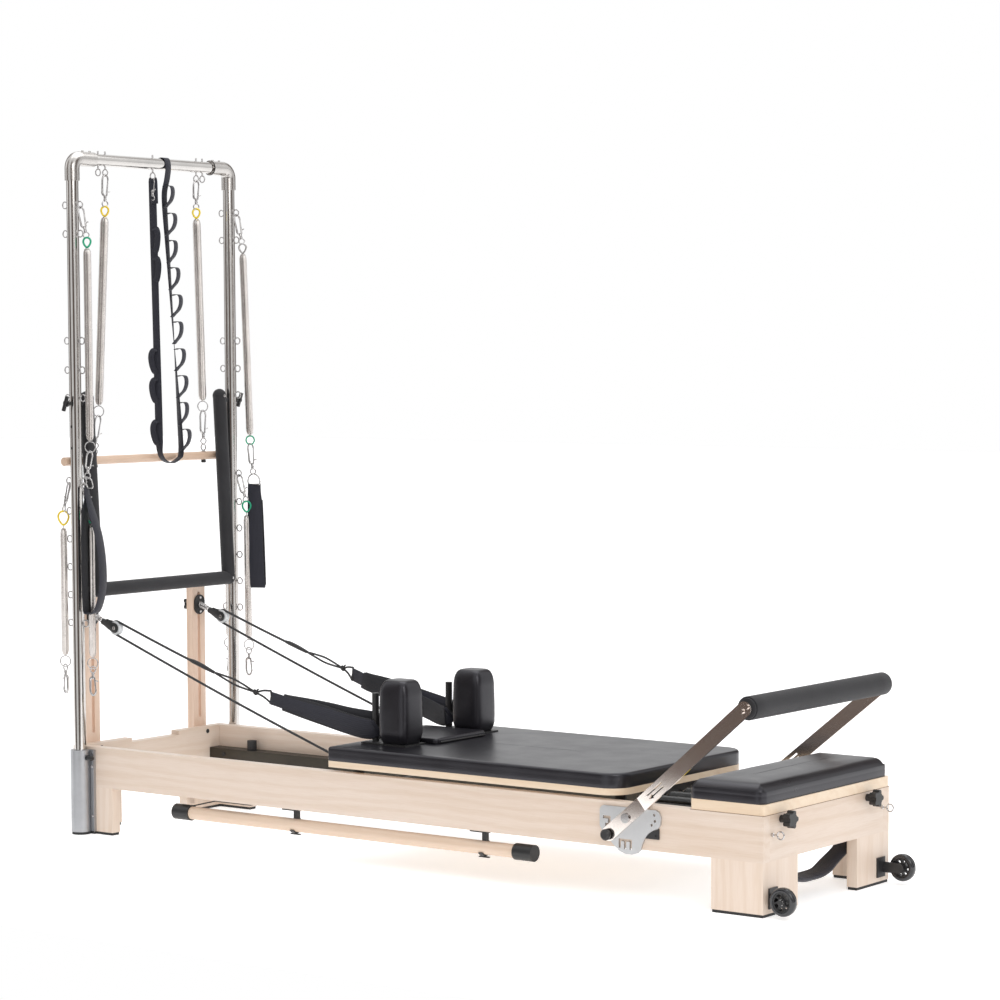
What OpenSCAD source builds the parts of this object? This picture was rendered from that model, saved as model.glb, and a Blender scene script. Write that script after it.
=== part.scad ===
// Pilates reformer with a tower. Millimetres, +Z up, +X towards the foot end.
// Stations s run along the bed from the outer face of the head board.

/* [Bed frame] */
// Length of the bed frame
frame_l = 2449; // [2200:1:2600]
// Width of the bed frame
frame_w = 650; // [600:1:720]
// Height of the rail top above the floor
rail_top = 263; // [220:1:320]
// Height of the rail underside above the floor
rail_bottom = 142; // [110:1:180]
// Thickness of rails and end boards
board_t = 32; // [24:1:40]
// Length of a leg along the bed
leg_l = 158; // [120:1:200]
// Width of a leg across the bed
leg_w = 171; // [120:1:220]
// Thickness of the rubber pads under the legs
pad_t = 8; // [4:1:12]
// Top of the inner carriage rails
track_top = 196; // [180:1:210]

/* [Tower] */
// Station of the upright axis
up_s = 49; // [40:1:70]
// Distance of the upright axis from the centre plane
up_y = 345; // [340:1:380]
// Tube diameter
tube_d = 36; // [32:1:40]
// Height of the crossbar axis
cross_z = 2021; // [1900:1:2100]
// Wire of the eye rings
eye_wire = 4; // [3:0.5:5]
// Centre radius of the eye rings
eye_r = 10; // [9:0.5:12]
// Distance from tube axis to eye ring centre
eye_off = 31; // [31:0.5:36]
// Diameter of the long springs
long_d = 26; // [22:1:28]
// Diameter of the side springs
side_d = 24; // [20:1:24]

/* [Carriage] */
// Station of the carriage's head edge
car_s = 997; // [960:1:1040]
// Length of the carriage
car_l = 1000; // [700:1:1040]
// Width of the carriage
car_w = 640; // [600:1:648]
// Underside of the carriage board
car_z = 275; // [268:1:285]
// Thickness of the carriage board
car_board_t = 18; // [15:1:24]
// Thickness of the carriage upholstery
car_pad_t = 41; // [30:1:50]
// Carriage wheel diameter
roller_d = 50; // [40:1:60]

/* [Footbar] */
// Station of the footbar pivot
piv_s = 2033; // [2000:1:2060]
// Height of the footbar pivot
piv_z = 224; // [210:1:235]
// Distance from pivot to bar axis
bar_r = 496; // [480:1:510]
// Rise of the arms at rest, degrees
bar_a = 39.7; // [20:0.1:70]
// Diameter of the padded bar
bar_d = 62; // [50:1:66]
// How far each arm leans out between its bend and the bar
flare = 24; // [0:1:30]
// Distance from pivot to the bend in the arms
bend_r = 63; // [50:1:90]

/* [Ropes and pulleys] */
// Distance of the pulley posts from the centre plane
post_y = 238; // [220:1:260]
// Height of the pulley plates
riser_z = 650; // [500:1:670]
// Rope diameter
rope_d = 7; // [6:0.5:9]
// Sheave diameter
sheave_d = 42; // [36:1:46]

/* [Transport] */
// Transport wheel diameter
castor_d = 76; // [70:1:80]
// Station of the transport wheel axle
castor_s = 2501; // [2495:1:2510]
// Height of the transport wheel axle
castor_z = 46; // [42:1:50]

/* [Hidden] */
mid = 1245;
half_w = frame_w / 2;
rail_h = rail_top - rail_bottom;
in_y = half_w - board_t;
car_top = car_z + car_board_t + car_pad_t;
q_dz = eye_r - 4.5;
eye_zs = [1883, 1798, 1481, 1394, 1311, 1063, 973, 889, 805, 721, 637];
cross_ys = [-236, -206, 0, 195, 223];
cross_eye_z = cross_z - 37;
plat_s = 2226;
plat_l = 224;
push_s = 76;
push_z = 735;
push_y = 295;
push_piv = 1295;
roll_s = 16.5;
roll_z = 1121;
sheave_s = 102;
sheave_z = 617;
peg_s = 1052;
peg_y = 171;
pole_y = -309;
pole_z = 95;
$fn = 48;

// ---------- helpers ----------

module at(s, y, z)
  translate([s - mid, y, z]) children();

// box between two corners, in stations
module box(a, b)
  at(min(a.x, b.x), min(a.y, b.y), min(a.z, b.z))
    cube([abs(b.x - a.x), abs(b.y - a.y), abs(b.z - a.z)]);

// round bar between two points, in stations
module seg(p, q, d, d2 = -1) {
  v = q - p;
  len = norm(v);
  at(p.x, p.y, p.z)
    rotate([0, acos(v.z / len), atan2(v.y, v.x)])
      cylinder(h = len, d1 = d, d2 = d2 < 0 ? d : d2);
}

module ball(p, d)
  at(p.x, p.y, p.z) sphere(d = d);

// wire ring whose hole looks along the axis given
module ring(p, r, w, axis = "y")
  at(p.x, p.y, p.z)
    rotate(axis == "y" ? [90, 0, 0] : axis == "x" ? [0, 90, 0] : [0, 0, 0])
      rotate_extrude($fn = 40) translate([r, 0]) circle(d = w, $fn = 16);

// flat rounded outline
module rplan(l, w, r0, r1) {
  for (m = [-1, 1]) {
    translate([r0, m * (w / 2 - r0)]) circle(r = r0);
    translate([l - r1, m * (w / 2 - r1)]) circle(r = r1);
  }
  translate([r0, -w / 2]) square([l - r0 - r1, w]);
  translate([0, -w / 2 + r0]) square([r0 + 0.01, w - 2 * r0]);
  translate([l - r1 - 0.01, -w / 2 + r1]) square([r1 + 0.01, w - 2 * r1]);
}

// upholstered block with round upper edges, flat below
module cushion(l, w, h, r) {
  translate([r, -w / 2 + r, 0]) cube([l - 2 * r, w - 2 * r, h]);
  translate([0, -w / 2 + r, 0]) cube([l, w - 2 * r, h - r]);
  translate([r, -w / 2, 0]) cube([l - 2 * r, w, h - r]);
  for (x = [r, l - r])
    for (m = [-1, 1])
      translate([x, m * (w / 2 - r), 0]) {
        cylinder(h = h - r, r = r);
        translate([0, 0, h - r]) sphere(r = r);
      }
  for (x = [r, l - r])
    translate([x, w / 2 - r, h - r]) rotate([90, 0, 0]) cylinder(h = w - 2 * r, r = r);
  for (m = [-1, 1])
    translate([r, m * (w / 2 - r), h - r]) rotate([0, 90, 0]) cylinder(h = l - 2 * r, r = r);
}

// block with all edges round
module pillow(l, w, h, r) {
  translate([0, 0, h / 2]) cushion(l, w, h / 2, r);
  translate([0, 0, h / 2]) mirror([0, 0, 1]) cushion(l, w, h / 2, r);
}

// band of even thickness along a path
function side_of(p, h) = [for (i = [0 : len(p) - 1])
  let (v = p[min(i + 1, len(p) - 1)] - p[max(i - 1, 0)]) p[i] + h * [-v.y, v.x] / norm(v)];

module strip(p, h)
  polygon(concat(side_of(p, h), [for (i = [len(p) - 1 : -1 : 0]) side_of(p, -h)[i]]));

// five-lobed hand knob, axis +Z
module lobes(r, h) {
  linear_extrude(h) {
    circle(r = r * 0.72);
    for (i = [0 : 4])
      rotate(90 + i * 72) translate([r * 0.72, 0]) circle(r = r * 0.28);
  }
}

// hanging spring with hooks: q pivot point, a and b spring ends, e tail
module hanging(q, a, b, e, d) {
  up = (a - b) / norm(a - b);
  ring([q.x, q.y, q.z - 9], 9, 4, "x");
  seg([q.x, q.y - 3, q.z], [q.x, q.y + 3, q.z], 4.4);
  seg([q.x, q.y, q.z - 17], a + 30 * up, 7);
  seg(a + 48 * up, a + 26 * up, 9);
  ring(a + 19 * up, 10, 5, "y");
  seg(a + 11 * up, a - 2 * up, 4);
  seg(a, a - 14 * up, 7, d);
  seg(a - 14 * up, b + 14 * up, d);
  seg(b + 14 * up, b, d, 7);
  seg(b + 2 * up, b - 8 * up, 4);
  ring(b - 16 * up, 10, 3, "y");
  seg(b - 24 * up, e, 7);
}

// ---------- bed frame ----------

module side_rails() color([0.87, 0.74, 0.58]) {
  for (m = [-1, 1])
    box([0, m * in_y, rail_bottom], [frame_l, m * half_w, rail_top]);
  box([432, -half_w, rail_bottom - 20], [462, -in_y, rail_bottom]);
}

module end_boards() color([0.87, 0.74, 0.58]) {
  difference() {
    box([0, -in_y, rail_bottom], [board_t, in_y, rail_top]);
    box([-1, -105, rail_top - 13], [board_t + 1, 105, rail_top + 1]);
    for (m = [-1, 1])
      seg([board_t - 6, m * post_y, rail_top - 15], [board_t + 1, m * post_y, rail_top - 15], 11);
  }
  box([frame_l - board_t, -in_y, rail_bottom], [frame_l, in_y, rail_top]);
}

module leg_plan(g) {
  translate([g, in_y + g]) square([leg_l - 2 * g, board_t - 2 * g]);
  translate([g, half_w - leg_w + g]) square([board_t - 2 * g, leg_w - 2 * g]);
}

module legs_all(z, h, g) {
  for (m = [0, 1]) {
    mirror([0, m, 0]) at(0, 0, z) linear_extrude(h) leg_plan(g);
    mirror([0, m, 0]) at(frame_l, 0, z) mirror([1, 0, 0]) linear_extrude(h) leg_plan(g);
  }
}

module end_legs() color([0.87, 0.74, 0.58])
  legs_all(pad_t, rail_bottom - pad_t, 0);

module foot_pads() color([0.08, 0.08, 0.08]) {
  legs_all(0, pad_t, 2);
  for (m = [-1, 1]) {
    box([10, m * (half_w - 4), 0], [90, m * (half_w + 5), pad_t]);
    seg([up_s, m * up_y, 0], [up_s, m * up_y, pad_t], 56);
  }
}

module inner_rails() color([0.25, 0.24, 0.22])
  for (m = [-1, 1])
    difference() {
      box([board_t, m * (in_y - 46), track_top - 36], [frame_l - board_t, m * in_y, track_top]);
      seg([91, m * (in_y - 47), track_top - 18], [91, m * (in_y - 30), track_top - 18], 9);
    }

module stoppers() color([0.06, 0.06, 0.06]) {
  for (m = [-1, 1]) {
    seg([190, m * 270, track_top], [190, m * 270, track_top + 30], 30);
    seg([1993, m * 270, track_top], [1993, m * 270, track_top + 30], 30);
    box([2120, m * (in_y - 58), track_top], [2206, m * in_y, 245]);
    difference() {
      at(0, m > 0 ? half_w + 5 : -half_w, 0) rotate([90, 0, 0]) linear_extrude(5)
        polygon([[2090.2, 174], [2131, 174], [2131, 201.8], [2114.4, 195.9], [2100, 186.2]]);
      seg([2124, m * (half_w + 3), 184], [2124, m * (half_w + 6), 184], 8);
    }
  }
}

module platform_board() color([0.87, 0.74, 0.58])
  at(plat_s, 0, rail_top) linear_extrude(29) rplan(plat_l, frame_w, 8, 10);

module platform_pad() color([0.07, 0.07, 0.08])
  at(plat_s - 2, 0, rail_top + 29) cushion(plat_l - 2, frame_w - 12, 55, 26);

module pulley_posts() color([0.87, 0.74, 0.58])
  for (m = [-1, 1])
    difference() {
      box([-26, m * (post_y - 28), rail_bottom], [0, m * (post_y + 28), 706]);
      box([-27, m * (post_y - 6), 296], [1, m * (post_y + 6), 684]);
      for (z = [296, 684])
        seg([-27, m * post_y, z], [1, m * post_y, z], 12);
    }

// ---------- tower ----------

module tower_tubes() color([0.75, 0.74, 0.72]) {
  for (m = [-1, 1])
    difference() {
      seg([up_s, m * up_y, 14], [up_s, m * up_y, cross_z - 30], tube_d);
      seg([up_s, m * up_y, 13], [up_s, m * up_y, cross_z - 29], tube_d - 4);
      for (z = eye_zs)
        seg([up_s - 20, m * up_y, z], [up_s + 20, m * up_y, z], 5.2);
      for (z = [1162, 1226])
        seg([up_s, m * up_y, z], [up_s, m * (up_y + 20), z], 8);
    }
  difference() {
    seg([up_s, 30 - up_y, cross_z], [up_s, up_y - 30, cross_z], tube_d);
    seg([up_s, 29 - up_y, cross_z], [up_s, up_y - 29, cross_z], tube_d - 4);
    for (y = cross_ys)
      seg([up_s, y, cross_z - 20], [up_s, y, cross_z + 20], 5.2);
  }
}

module tower_elbows() color([0.72, 0.71, 0.69])
  for (m = [0, 1])
    mirror([0, m, 0]) {
      difference() {
        seg([up_s, up_y, cross_z - 66], [up_s, up_y, cross_z - 30], tube_d + 8);
        seg([up_s, up_y, cross_z - 67], [up_s, up_y, cross_z - 29], tube_d);
      }
      difference() {
        seg([up_s, up_y - 30, cross_z], [up_s, up_y - 88, cross_z], tube_d + 8);
        seg([up_s, up_y - 29, cross_z], [up_s, up_y - 89, cross_z], tube_d);
      }
      at(up_s, up_y - 30, cross_z - 30)
        rotate([90, 0, 90])
          rotate_extrude(angle = 90) translate([30, 0]) circle(d = tube_d + 8);
      seg([up_s, up_y - 44, cross_z + 21], [up_s, up_y - 44, cross_z + 25], 7);
      seg([up_s, up_y - 74, cross_z + 21], [up_s, up_y - 74, cross_z + 25], 7);
    }

module post_holders() color([0.62, 0.63, 0.65])
  for (m = [0, 1])
    mirror([0, m, 0]) {
      difference() {
        union() {
          seg([up_s, up_y, pad_t], [up_s, up_y, 255], 60);
          box([8, half_w, pad_t], [92, half_w + 6, 255]);
          box([80, half_w + 5, pad_t], [82.5, half_w + 9, 255]);
          box([89.5, half_w + 5, pad_t], [92, half_w + 9, 255]);
        }
        seg([up_s, up_y, 14], [up_s, up_y, 256], tube_d);
        box([0, half_w - 20, 0], [100, half_w, 260]);
        seg([68.5, up_y + 4, 232], [82, up_y + 4, 232], 8.2);
      }
      for (z = [55, 205]) {
        seg([86, half_w + 5, z], [86, half_w + 8, z], 6.4);
        seg([12, half_w + 6, z], [12, half_w + 9, z], 9);
      }
      for (z = [65, 185, 228])
        seg([15, up_y, z], [20, up_y, z], 10);
    }

module eye_bolts() color([0.78, 0.77, 0.75]) {
  for (m = [-1, 1])
    for (z = eye_zs) {
      seg([up_s - eye_off + eye_r, m * up_y, z], [up_s + eye_off - eye_r, m * up_y, z], 5);
      for (k = [-1, 1])
        ring([up_s + k * eye_off, m * up_y, z], eye_r, eye_wire, "y");
    }
  for (y = cross_ys) {
    seg([up_s, y, cross_eye_z + eye_r], [up_s, y, cross_z + 27], 5);
    ring([up_s, y, cross_eye_z], eye_r, eye_wire, "y");
  }
  for (m = [-1, 1]) {
    seg([frame_l, m * 284, 211], [frame_l + 6, m * 284, 211], 10);
    seg([frame_l, m * 284, 211], [frame_l + 18, m * 284, 211], 5);
    ring([frame_l + 27, m * 284, 211], eye_r, eye_wire, "y");
  }
}

// half ring of webbing standing off a strand, turned with its slope
module bow(r, a, side)
  rotate(a)
    polygon(concat([for (t = [-90 : 10 : 90]) [side * r * cos(t), r * sin(t)]],
      [for (t = [90 : -10 : -90]) [side * (r - 2.5) * cos(t), (r - 2.5) * sin(t)]]));

module loop_strap() color([0.05, 0.05, 0.06]) {
  left = [for (t = [0 : 0.1 : 1]) [2 + 18 * t, 1966 - t * 816]];
  bend = [for (t = [9 : 9 : 171]) [69 - 49 * cos(t), 1150 - 46 * sin(t)]];
  right = [for (t = [0 : 0.1 : 1]) [118 - 70 * t, 1150 + t * 832]];
  at(up_s + 9, 0, 0)
    rotate([90, 0, -90]) mirror([1, 0, 0])
      linear_extrude(26) {
        strip(concat(left, bend, right), 1.5);
        for (i = [0 : 9])
          translate([118 - 70 * (0.93 - i * 0.1), 1150 + (0.93 - i * 0.1) * 832]) bow(29, 4.8, 1);
        for (z = [1790, 1715, 1420, 1340, 1260])
          translate([2 + 18 * (1966 - z) / 816, z]) bow(17, 1.3, z > 1600 ? 1 : -1);
      }
  difference() {
    seg([up_s, 35, cross_z], [up_s, 61, cross_z], tube_d + 7);
    seg([up_s, 34, cross_z], [up_s, 62, cross_z], tube_d + 1);
    box([0, 30, cross_z - 30], [100, 70, cross_z]);
  }
  box([up_s - 21.2, 35.5, cross_z - 90], [up_s - 18.3, 60.5, cross_z + 3]);
  box([up_s + 18.3, 35.5, cross_z - 40], [up_s + 21.2, 60.5, cross_z + 3]);
  box([up_s + 5, 46, cross_z - 48], [up_s + 20, 50.5, cross_z - 24]);
}

// ---------- bed fittings ----------

module gear_plates() color([0.72, 0.73, 0.74])
  for (m = [0, 1])
    mirror([0, m, 0]) {
      difference() {
        at(0, half_w + 6, 0) rotate([90, 0, 0]) linear_extrude(6)
          difference() {
            polygon([[1956, 251], [1949, 248], [1944, 240], [1944, 197], [1950, 187], [1986, 151], [2006, 134],
              [2026, 127], [2048, 127], [2064, 132], [2075, 142], [2080, 158], [2088, 173], [2099, 187],
              [2114, 197], [2130, 203], [2137, 213], [2139, 232], [2133, 246], [2123, 251]]);
            translate([1955, 216]) square([24, 8]);
            translate([1971, 196]) square([8, 28]);
            translate([1962, 196]) square([10, 8]);
            translate([2005, 160]) square([42, 7]);
            translate([2005, 142]) square([7, 22]);
            translate([2022, 140]) square([7, 24]);
            translate([2040, 139]) square([7, 25]);
            for (p = [[2118, 238], [2120, 222], [2110, 211]])
              translate(p) circle(d = 7);
            translate([1972, 172]) circle(d = 11);
          }
      }
    }

// slotted bar that the bed springs hook on, and the footbar's pivot bolts
module spring_bar() color([0.55, 0.55, 0.56]) {
  for (m = [0, 1])
    mirror([0, m, 0]) {
      seg([piv_s, half_w + 6, piv_z], [piv_s, half_w + 15, piv_z], 16);
      seg([piv_s, half_w + 14.5, piv_z], [piv_s, half_w + 19, piv_z], 26);
    }
  box([2206, -in_y, 238], [2218, in_y, 261]);
  for (y = [-160 : 80 : 160])
    seg([2198, y, 250], [2206, y, 250], 8);
}

module wheel_brackets() color([0.05, 0.05, 0.05])
  for (m = [-1, 1]) {
    box([frame_l, m * 258, 20], [frame_l + 4, m * 300, 74]);
    box([frame_l + 3, m * 288, 32], [castor_s, m * 296, 60]);
    seg([castor_s, m * 288, castor_z], [castor_s, m * 296, castor_z], 28);
    seg([castor_s, m * 290, castor_z], [castor_s, m * 328, castor_z], 8);
    seg([castor_s, m * 325.5, castor_z], [castor_s, m * 329, castor_z], 14);
  }

module sling() color([0.05, 0.05, 0.06]) {
  pts = [for (t = [-1 : 0.1 : 1]) [230 * t, 50 + 91 * pow(abs(t), 2.2)]];
  at(2412, 0, 0) rotate([90, 0, -90]) mirror([1, 0, 0]) linear_extrude(60) strip(pts, 2.5);
  for (m = [-1, 1])
    box([2352, m * 222, rail_bottom - 3], [frame_l - board_t, m * 262, rail_bottom + 3]);
}

module pole() color([0.86, 0.72, 0.55])
  seg([412, pole_y, pole_z], [1706, pole_y, pole_z], 38);

module pole_fittings() color([0.05, 0.05, 0.05]) {
  difference() {
    seg([405, pole_y, pole_z], [467, pole_y, pole_z], 46);
    seg([412, pole_y, pole_z], [468, pole_y, pole_z], 38);
  }
  difference() {
    seg([1653, pole_y, pole_z], [1715, pole_y, pole_z], 46);
    seg([1652, pole_y, pole_z], [1706, pole_y, pole_z], 38);
  }
  for (s = [867, 1544]) {
    box([s - 40, pole_y - 14, rail_bottom - 4], [s + 22, pole_y + 14, rail_bottom]);
    box([s - 7, pole_y - 1, pole_z + 20], [s + 7, pole_y + 12, rail_bottom - 3]);
    difference() {
      seg([s - 7, pole_y, pole_z], [s + 7, pole_y, pole_z], 46);
      seg([s - 8, pole_y, pole_z], [s + 8, pole_y, pole_z], 38);
      box([s - 8, pole_y - 24, pole_z - 12], [s + 8, pole_y - 1, pole_z + 24]);
    }
    seg([s, pole_y, pole_z - 27], [s, pole_y, pole_z - 20], 9);
    box([s - 17, pole_y - 4, pole_z - 27], [s + 17, pole_y + 4, pole_z - 24]);
  }
  box([566, pole_y - 9, rail_bottom - 4], [704, pole_y + 9, rail_bottom]);
  seg([567, pole_y, rail_bottom - 2.2], [474, pole_y, pole_z + 22], 4);
}

// ---------- carriage ----------

module carriage_board() color([0.87, 0.74, 0.58])
  at(car_s, 0, car_z) linear_extrude(car_board_t) rplan(car_l, car_w, 6, 62);

module carriage_pad() color([0.07, 0.07, 0.08]) {
  at(car_s, 0, car_z + car_board_t) linear_extrude(car_pad_t - 7) rplan(car_l, car_w, 6, 62);
  at(car_s + 2, 0, car_top - 7) linear_extrude(4) rplan(car_l - 4, car_w - 4, 6, 60);
  at(car_s + 5, 0, car_top - 3) linear_extrude(3) rplan(car_l - 10, car_w - 10, 6, 58);
}

module carriage_irons() color([0.30, 0.30, 0.31]) {
  for (m = [-1, 1]) {
    for (s = [1052, 1952])
      difference() {
        box([s - 16, m * 240, 208], [s + 16, m * 246, car_z]);
        seg([s, m * 239, 221], [s, m * 247, 221], 10.1);
      }
    ring([car_s - 9, m * post_y, 283], 6, 3, "y");
    seg([car_s - 2.6, m * post_y, 283], [car_s, m * post_y, 283], 4);
  }
  box([1976, -185, 240], [1982, 185, car_z]);
  for (y = [-160 : 80 : 160])
    seg([1982, y, 250], [1990, y, 250], 8);
}

module roller_axle(s) {
  seg([s, -285, 221], [s, 285, 221], 10);
  for (m = [-1, 1])
    seg([s, m * 260, 221], [s, m * 280, 221], roller_d - 0.1);
}

module axle_head() color([0.20, 0.20, 0.21]) roller_axle(1052);
module axle_foot() color([0.20, 0.20, 0.21]) roller_axle(1952);

module shoulder_pads() color([0.06, 0.06, 0.07])
  for (m = [-1, 1])
    at(1093, m * peg_y, car_top + 4) pillow(103, 96, 182, 24);

module shoulder_posts() color([0.06, 0.06, 0.06])
  for (m = [-1, 1]) {
    box([1036, m * 124, car_top], [1198, m * 218, car_top + 4]);
    seg([peg_s, m * peg_y, car_top + 3], [peg_s, m * peg_y, 475], 20);
  }

module headrest() color([0.08, 0.08, 0.09]) {
  at(1005, 0, car_top + 0.5) cushion(226, 236, 17, 8);
  seg([1232, -100, car_top + 4.6], [1232, 100, car_top + 4.6], 6);
}

module hand_straps() color([0.04, 0.04, 0.05])
  for (m = [0, 1])
    mirror([0, m, 0]) {
      at(peg_s, peg_y + 13, 392) rotate([0, -172.8, 0]) {
        translate([0, 0, -30]) cube([376, 3, 60]);
        translate([55, -2.5, -29]) cube([215, 8, 58]);
      }
      difference() {
        seg([peg_s, peg_y, 348], [peg_s, peg_y, 430], 32);
        seg([peg_s, peg_y, 347], [peg_s, peg_y, 431], 20.6);
      }
    }

module carriage_springs() color([0.70, 0.70, 0.70])
  for (y = [-160 : 80 : 160]) {
    seg([1990.2, y, 250], [2004, y, 250], 8, 26);
    seg([2004, y, 250], [2184, y, 250], 26);
    seg([2184, y, 250], [2197.8, y, 250], 26, 8);
  }

module ropes() color([0.04, 0.04, 0.04])
  for (m = [0, 1])
    mirror([0, m, 0]) {
      r = 20.2;
      top = [sheave_s + 8, post_y, sheave_z + r - 0.4];
      knot = [628, 205, 452];
      run = knot - top;
      low = [sheave_s - 7, post_y, sheave_z - r + 0.4];
      seg(top, top + 0.55 * run, rope_d);
      seg(top + 0.55 * run, knot, rope_d + 2.5);
      at(sheave_s, post_y, sheave_z) rotate([90, 0, 0])
        rotate_extrude(angle = 166, start = 76) translate([r, 0]) circle(d = rope_d - 1);
      seg(low, [car_s - 17, post_y, 288], rope_d);
      ball(knot, 16);
      seg(knot, [674, 190, 456], 4);
      seg(knot, [674, 190, 414], 4);
    }

// ---------- footbar ----------

module arm_plan() {
  difference() {
    union() {
      translate([-72, -20]) square([bar_r + 72, 40]);
      translate([-72, 0]) circle(r = 20);
      translate([bar_r, 0]) circle(r = 20);
    }
    circle(d = 16.1);
    translate([-76, 0]) circle(d = 8.1);
    translate([94, 4]) square([62, 5]);
    translate([108, -7]) square([46, 5]);
    polygon([[94, -4.5], [110, -11], [110, 2]]);
  }
}

// arm standing off the rail, bent so that it leans out towards the bar
module arm() {
  tip = bar_r + 30;
  lean = flare * (tip - bend_r) / (bar_r - bend_r);
  intersection() {
    translate([0, 50, 0]) rotate([90, 0, 0]) linear_extrude(51) arm_plan();
    translate([0, 0, -40]) linear_extrude(80)
      polygon([[-100, 0], [bend_r, 0], [tip, lean], [tip, lean + 6], [bend_r, 6], [-100, 6]]);
  }
}

module footbar_arms() color([0.72, 0.70, 0.67]) {
  for (m = [-1, 1]) {
    at(piv_s, m * (half_w + 8), piv_z) mirror([0, m > 0 ? 0 : 1, 0]) rotate([0, -bar_a, 0]) arm();
    for (k = [-10, 10])
      at(piv_s, 0, piv_z) rotate([0, -bar_a, 0]) translate([bar_r + k, m * (half_w + 12 + flare), 0])
        rotate([-90 * m, 0, 0]) cylinder(h = 7, d = 13);
  }
  at(piv_s, 0, piv_z) rotate([0, -bar_a, 0]) translate([bar_r, -half_w - 11 - flare, 0])
    rotate([-90, 0, 0]) cylinder(h = 2 * (half_w + 11 + flare), d = 34);
}

module footbar_pad() color([0.09, 0.09, 0.10])
  at(piv_s, 0, piv_z) rotate([0, -bar_a, 0]) translate([bar_r, 0, 0]) rotate([90, 0, 0])
    difference() {
      union() {
        cylinder(h = 2 * (half_w + flare - 2), d = bar_d, center = true);
        cylinder(h = 2 * (half_w + flare + 4), d = bar_d - 8, center = true);
      }
      cylinder(h = 2 * (half_w + flare + 10), d = 34, center = true);
    }

module lock(m) {
  at(piv_s, 0, piv_z) rotate([0, -bar_a, 0]) translate([-76, 0, 0]) rotate([-90 * m, 0, 0]) {
    translate([0, 0, half_w + 7.2]) cylinder(h = 12, d = 8);
    translate([0, 0, half_w + 14.2]) cylinder(h = 6, d = 14);
    translate([0, 0, half_w + 18]) cylinder(h = 8, d = 30);
    translate([0, 0, half_w + 26]) cylinder(h = 5, d1 = 30, d2 = 20);
  }
}

module lock_near() color([0.05, 0.05, 0.05]) lock(-1);
module lock_far() color([0.05, 0.05, 0.05]) lock(1);

// ---------- tower gear ----------

module push_bar() color([0.08, 0.08, 0.09]) {
  for (m = [-1, 1]) {
    p = [up_s - 3, m * push_y, push_piv + 14];
    q = [push_s, m * push_y, push_z];
    seg(p, q, 42);
    ball(p, 43.5);
    ball(q, 44);
    seg([up_s, m * (push_y - 20), push_piv], [up_s, m * (up_y - 19), push_piv], 14);
    seg([push_s, m * (push_y + 10), push_z], [push_s, m * (push_y + 24), push_z], 14);
  }
  seg([push_s, -push_y, push_z], [push_s, push_y, push_z], 42);
}

module tee_knob(m) {
  seg([up_s, m * (up_y + 18.2), push_piv], [up_s, m * (up_y + 36), push_piv], 12);
  seg([up_s, m * (up_y + 34), push_piv], [up_s, m * (up_y + 42), push_piv], 20);
  seg([up_s + 8, m * (up_y + 42), push_piv + 21], [up_s - 8, m * (up_y + 42), push_piv - 21], 12);
}

module push_knob_near() color([0.05, 0.05, 0.05]) tee_knob(-1);
module push_knob_far() color([0.05, 0.05, 0.05]) tee_knob(1);

module roll_bar() color([0.86, 0.72, 0.55])
  difference() {
    seg([roll_s, -364, roll_z], [roll_s, 312, roll_z], 26);
    for (y = [-232, 250])
      seg([roll_s, y, roll_z - 14], [roll_s, y, roll_z + 14], 6);
  }

module long_springs() color([0.74, 0.72, 0.69]) {
  zq = cross_eye_z - q_dz;
  hanging([up_s, -206, zq], [45, -207, 1850], [26, -223, 1290], [roll_s + 1, -231, 1160], long_d);
  hanging([up_s, 195, zq], [45, 199, 1858], [26, 238, 1297], [roll_s + 1, 249, 1160], long_d);
  for (y = [-232, 250]) {
    ring([roll_s, y, roll_z + 28], 10, 4, "y");
    ring([roll_s, y, roll_z + 41], 9, 4, "x");
    seg([roll_s, y, roll_z + 19], [roll_s, y, roll_z - 16], 6);
    ball([roll_s, y, roll_z - 20], 15);
  }
}

module side_spring(m, lean, drop) {
  y = m * up_y;
  a = [up_s + 57, y, 1752];
  b = [up_s + 58 + lean, y, 1187];
  e = [up_s + 58 + lean, y, 1075 - drop];
  hanging([up_s + eye_off, y, eye_zs[0] - q_dz], a, b, e, side_d);
  seg([e.x, y - m * 4, e.z], [e.x, y + m * 19, e.z], 8);
  ring([e.x, y + m * 16.5, e.z - 15], 15, 5, "y");
}

module side_spring_near() color([0.74, 0.72, 0.69]) side_spring(-1, 0, 0);
module side_spring_far() color([0.74, 0.72, 0.69]) side_spring(1, 21, 16);

module hand_loop(m, lean, drop, low) {
  y = m * (up_y + 16.5);
  at(up_s + 60 + lean, y - 4, 0) {
    translate([-13, 0, 1020 - drop]) cube([26, 8, 22.4]);
    translate([-19, 0, low]) cube([38, 8, 1020 - drop - low]);
    translate([-19, 4, low]) rotate([0, 90, 0]) cylinder(h = 38, d = 8);
  }
}

module hand_loop_near() color([0.04, 0.04, 0.05]) hand_loop(-1, 0, 0, 675);
module hand_loop_far() color([0.04, 0.04, 0.05]) hand_loop(1, 21, 16, 707);

// short spring hung from the outer or inner row of eyes
module leg_spring(m, k, s, lean, top, out) {
  y = m * (up_y + out);
  hanging([up_s + k * eye_off, m * up_y, eye_zs[5] - q_dz], [s, y, top], [s + lean, y, 540],
    [s + lean, y, 436], 22);
  ring([s + lean, y, 430], 8, 4, "x");
}

module leg_spring_near_in() color([0.74, 0.72, 0.69]) leg_spring(-1, 1, 106, 0, 929, 0);
module leg_spring_near_out() color([0.74, 0.72, 0.69]) leg_spring(-1, -1, -8, 0, 918, 0);
module leg_spring_far_in() color([0.74, 0.72, 0.69]) leg_spring(1, 1, 111, 4, 929, 0);
module leg_spring_far_out() color([0.74, 0.72, 0.69]) leg_spring(1, -1, 18, 0, 929, 15);

// ---------- pulleys ----------

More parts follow.
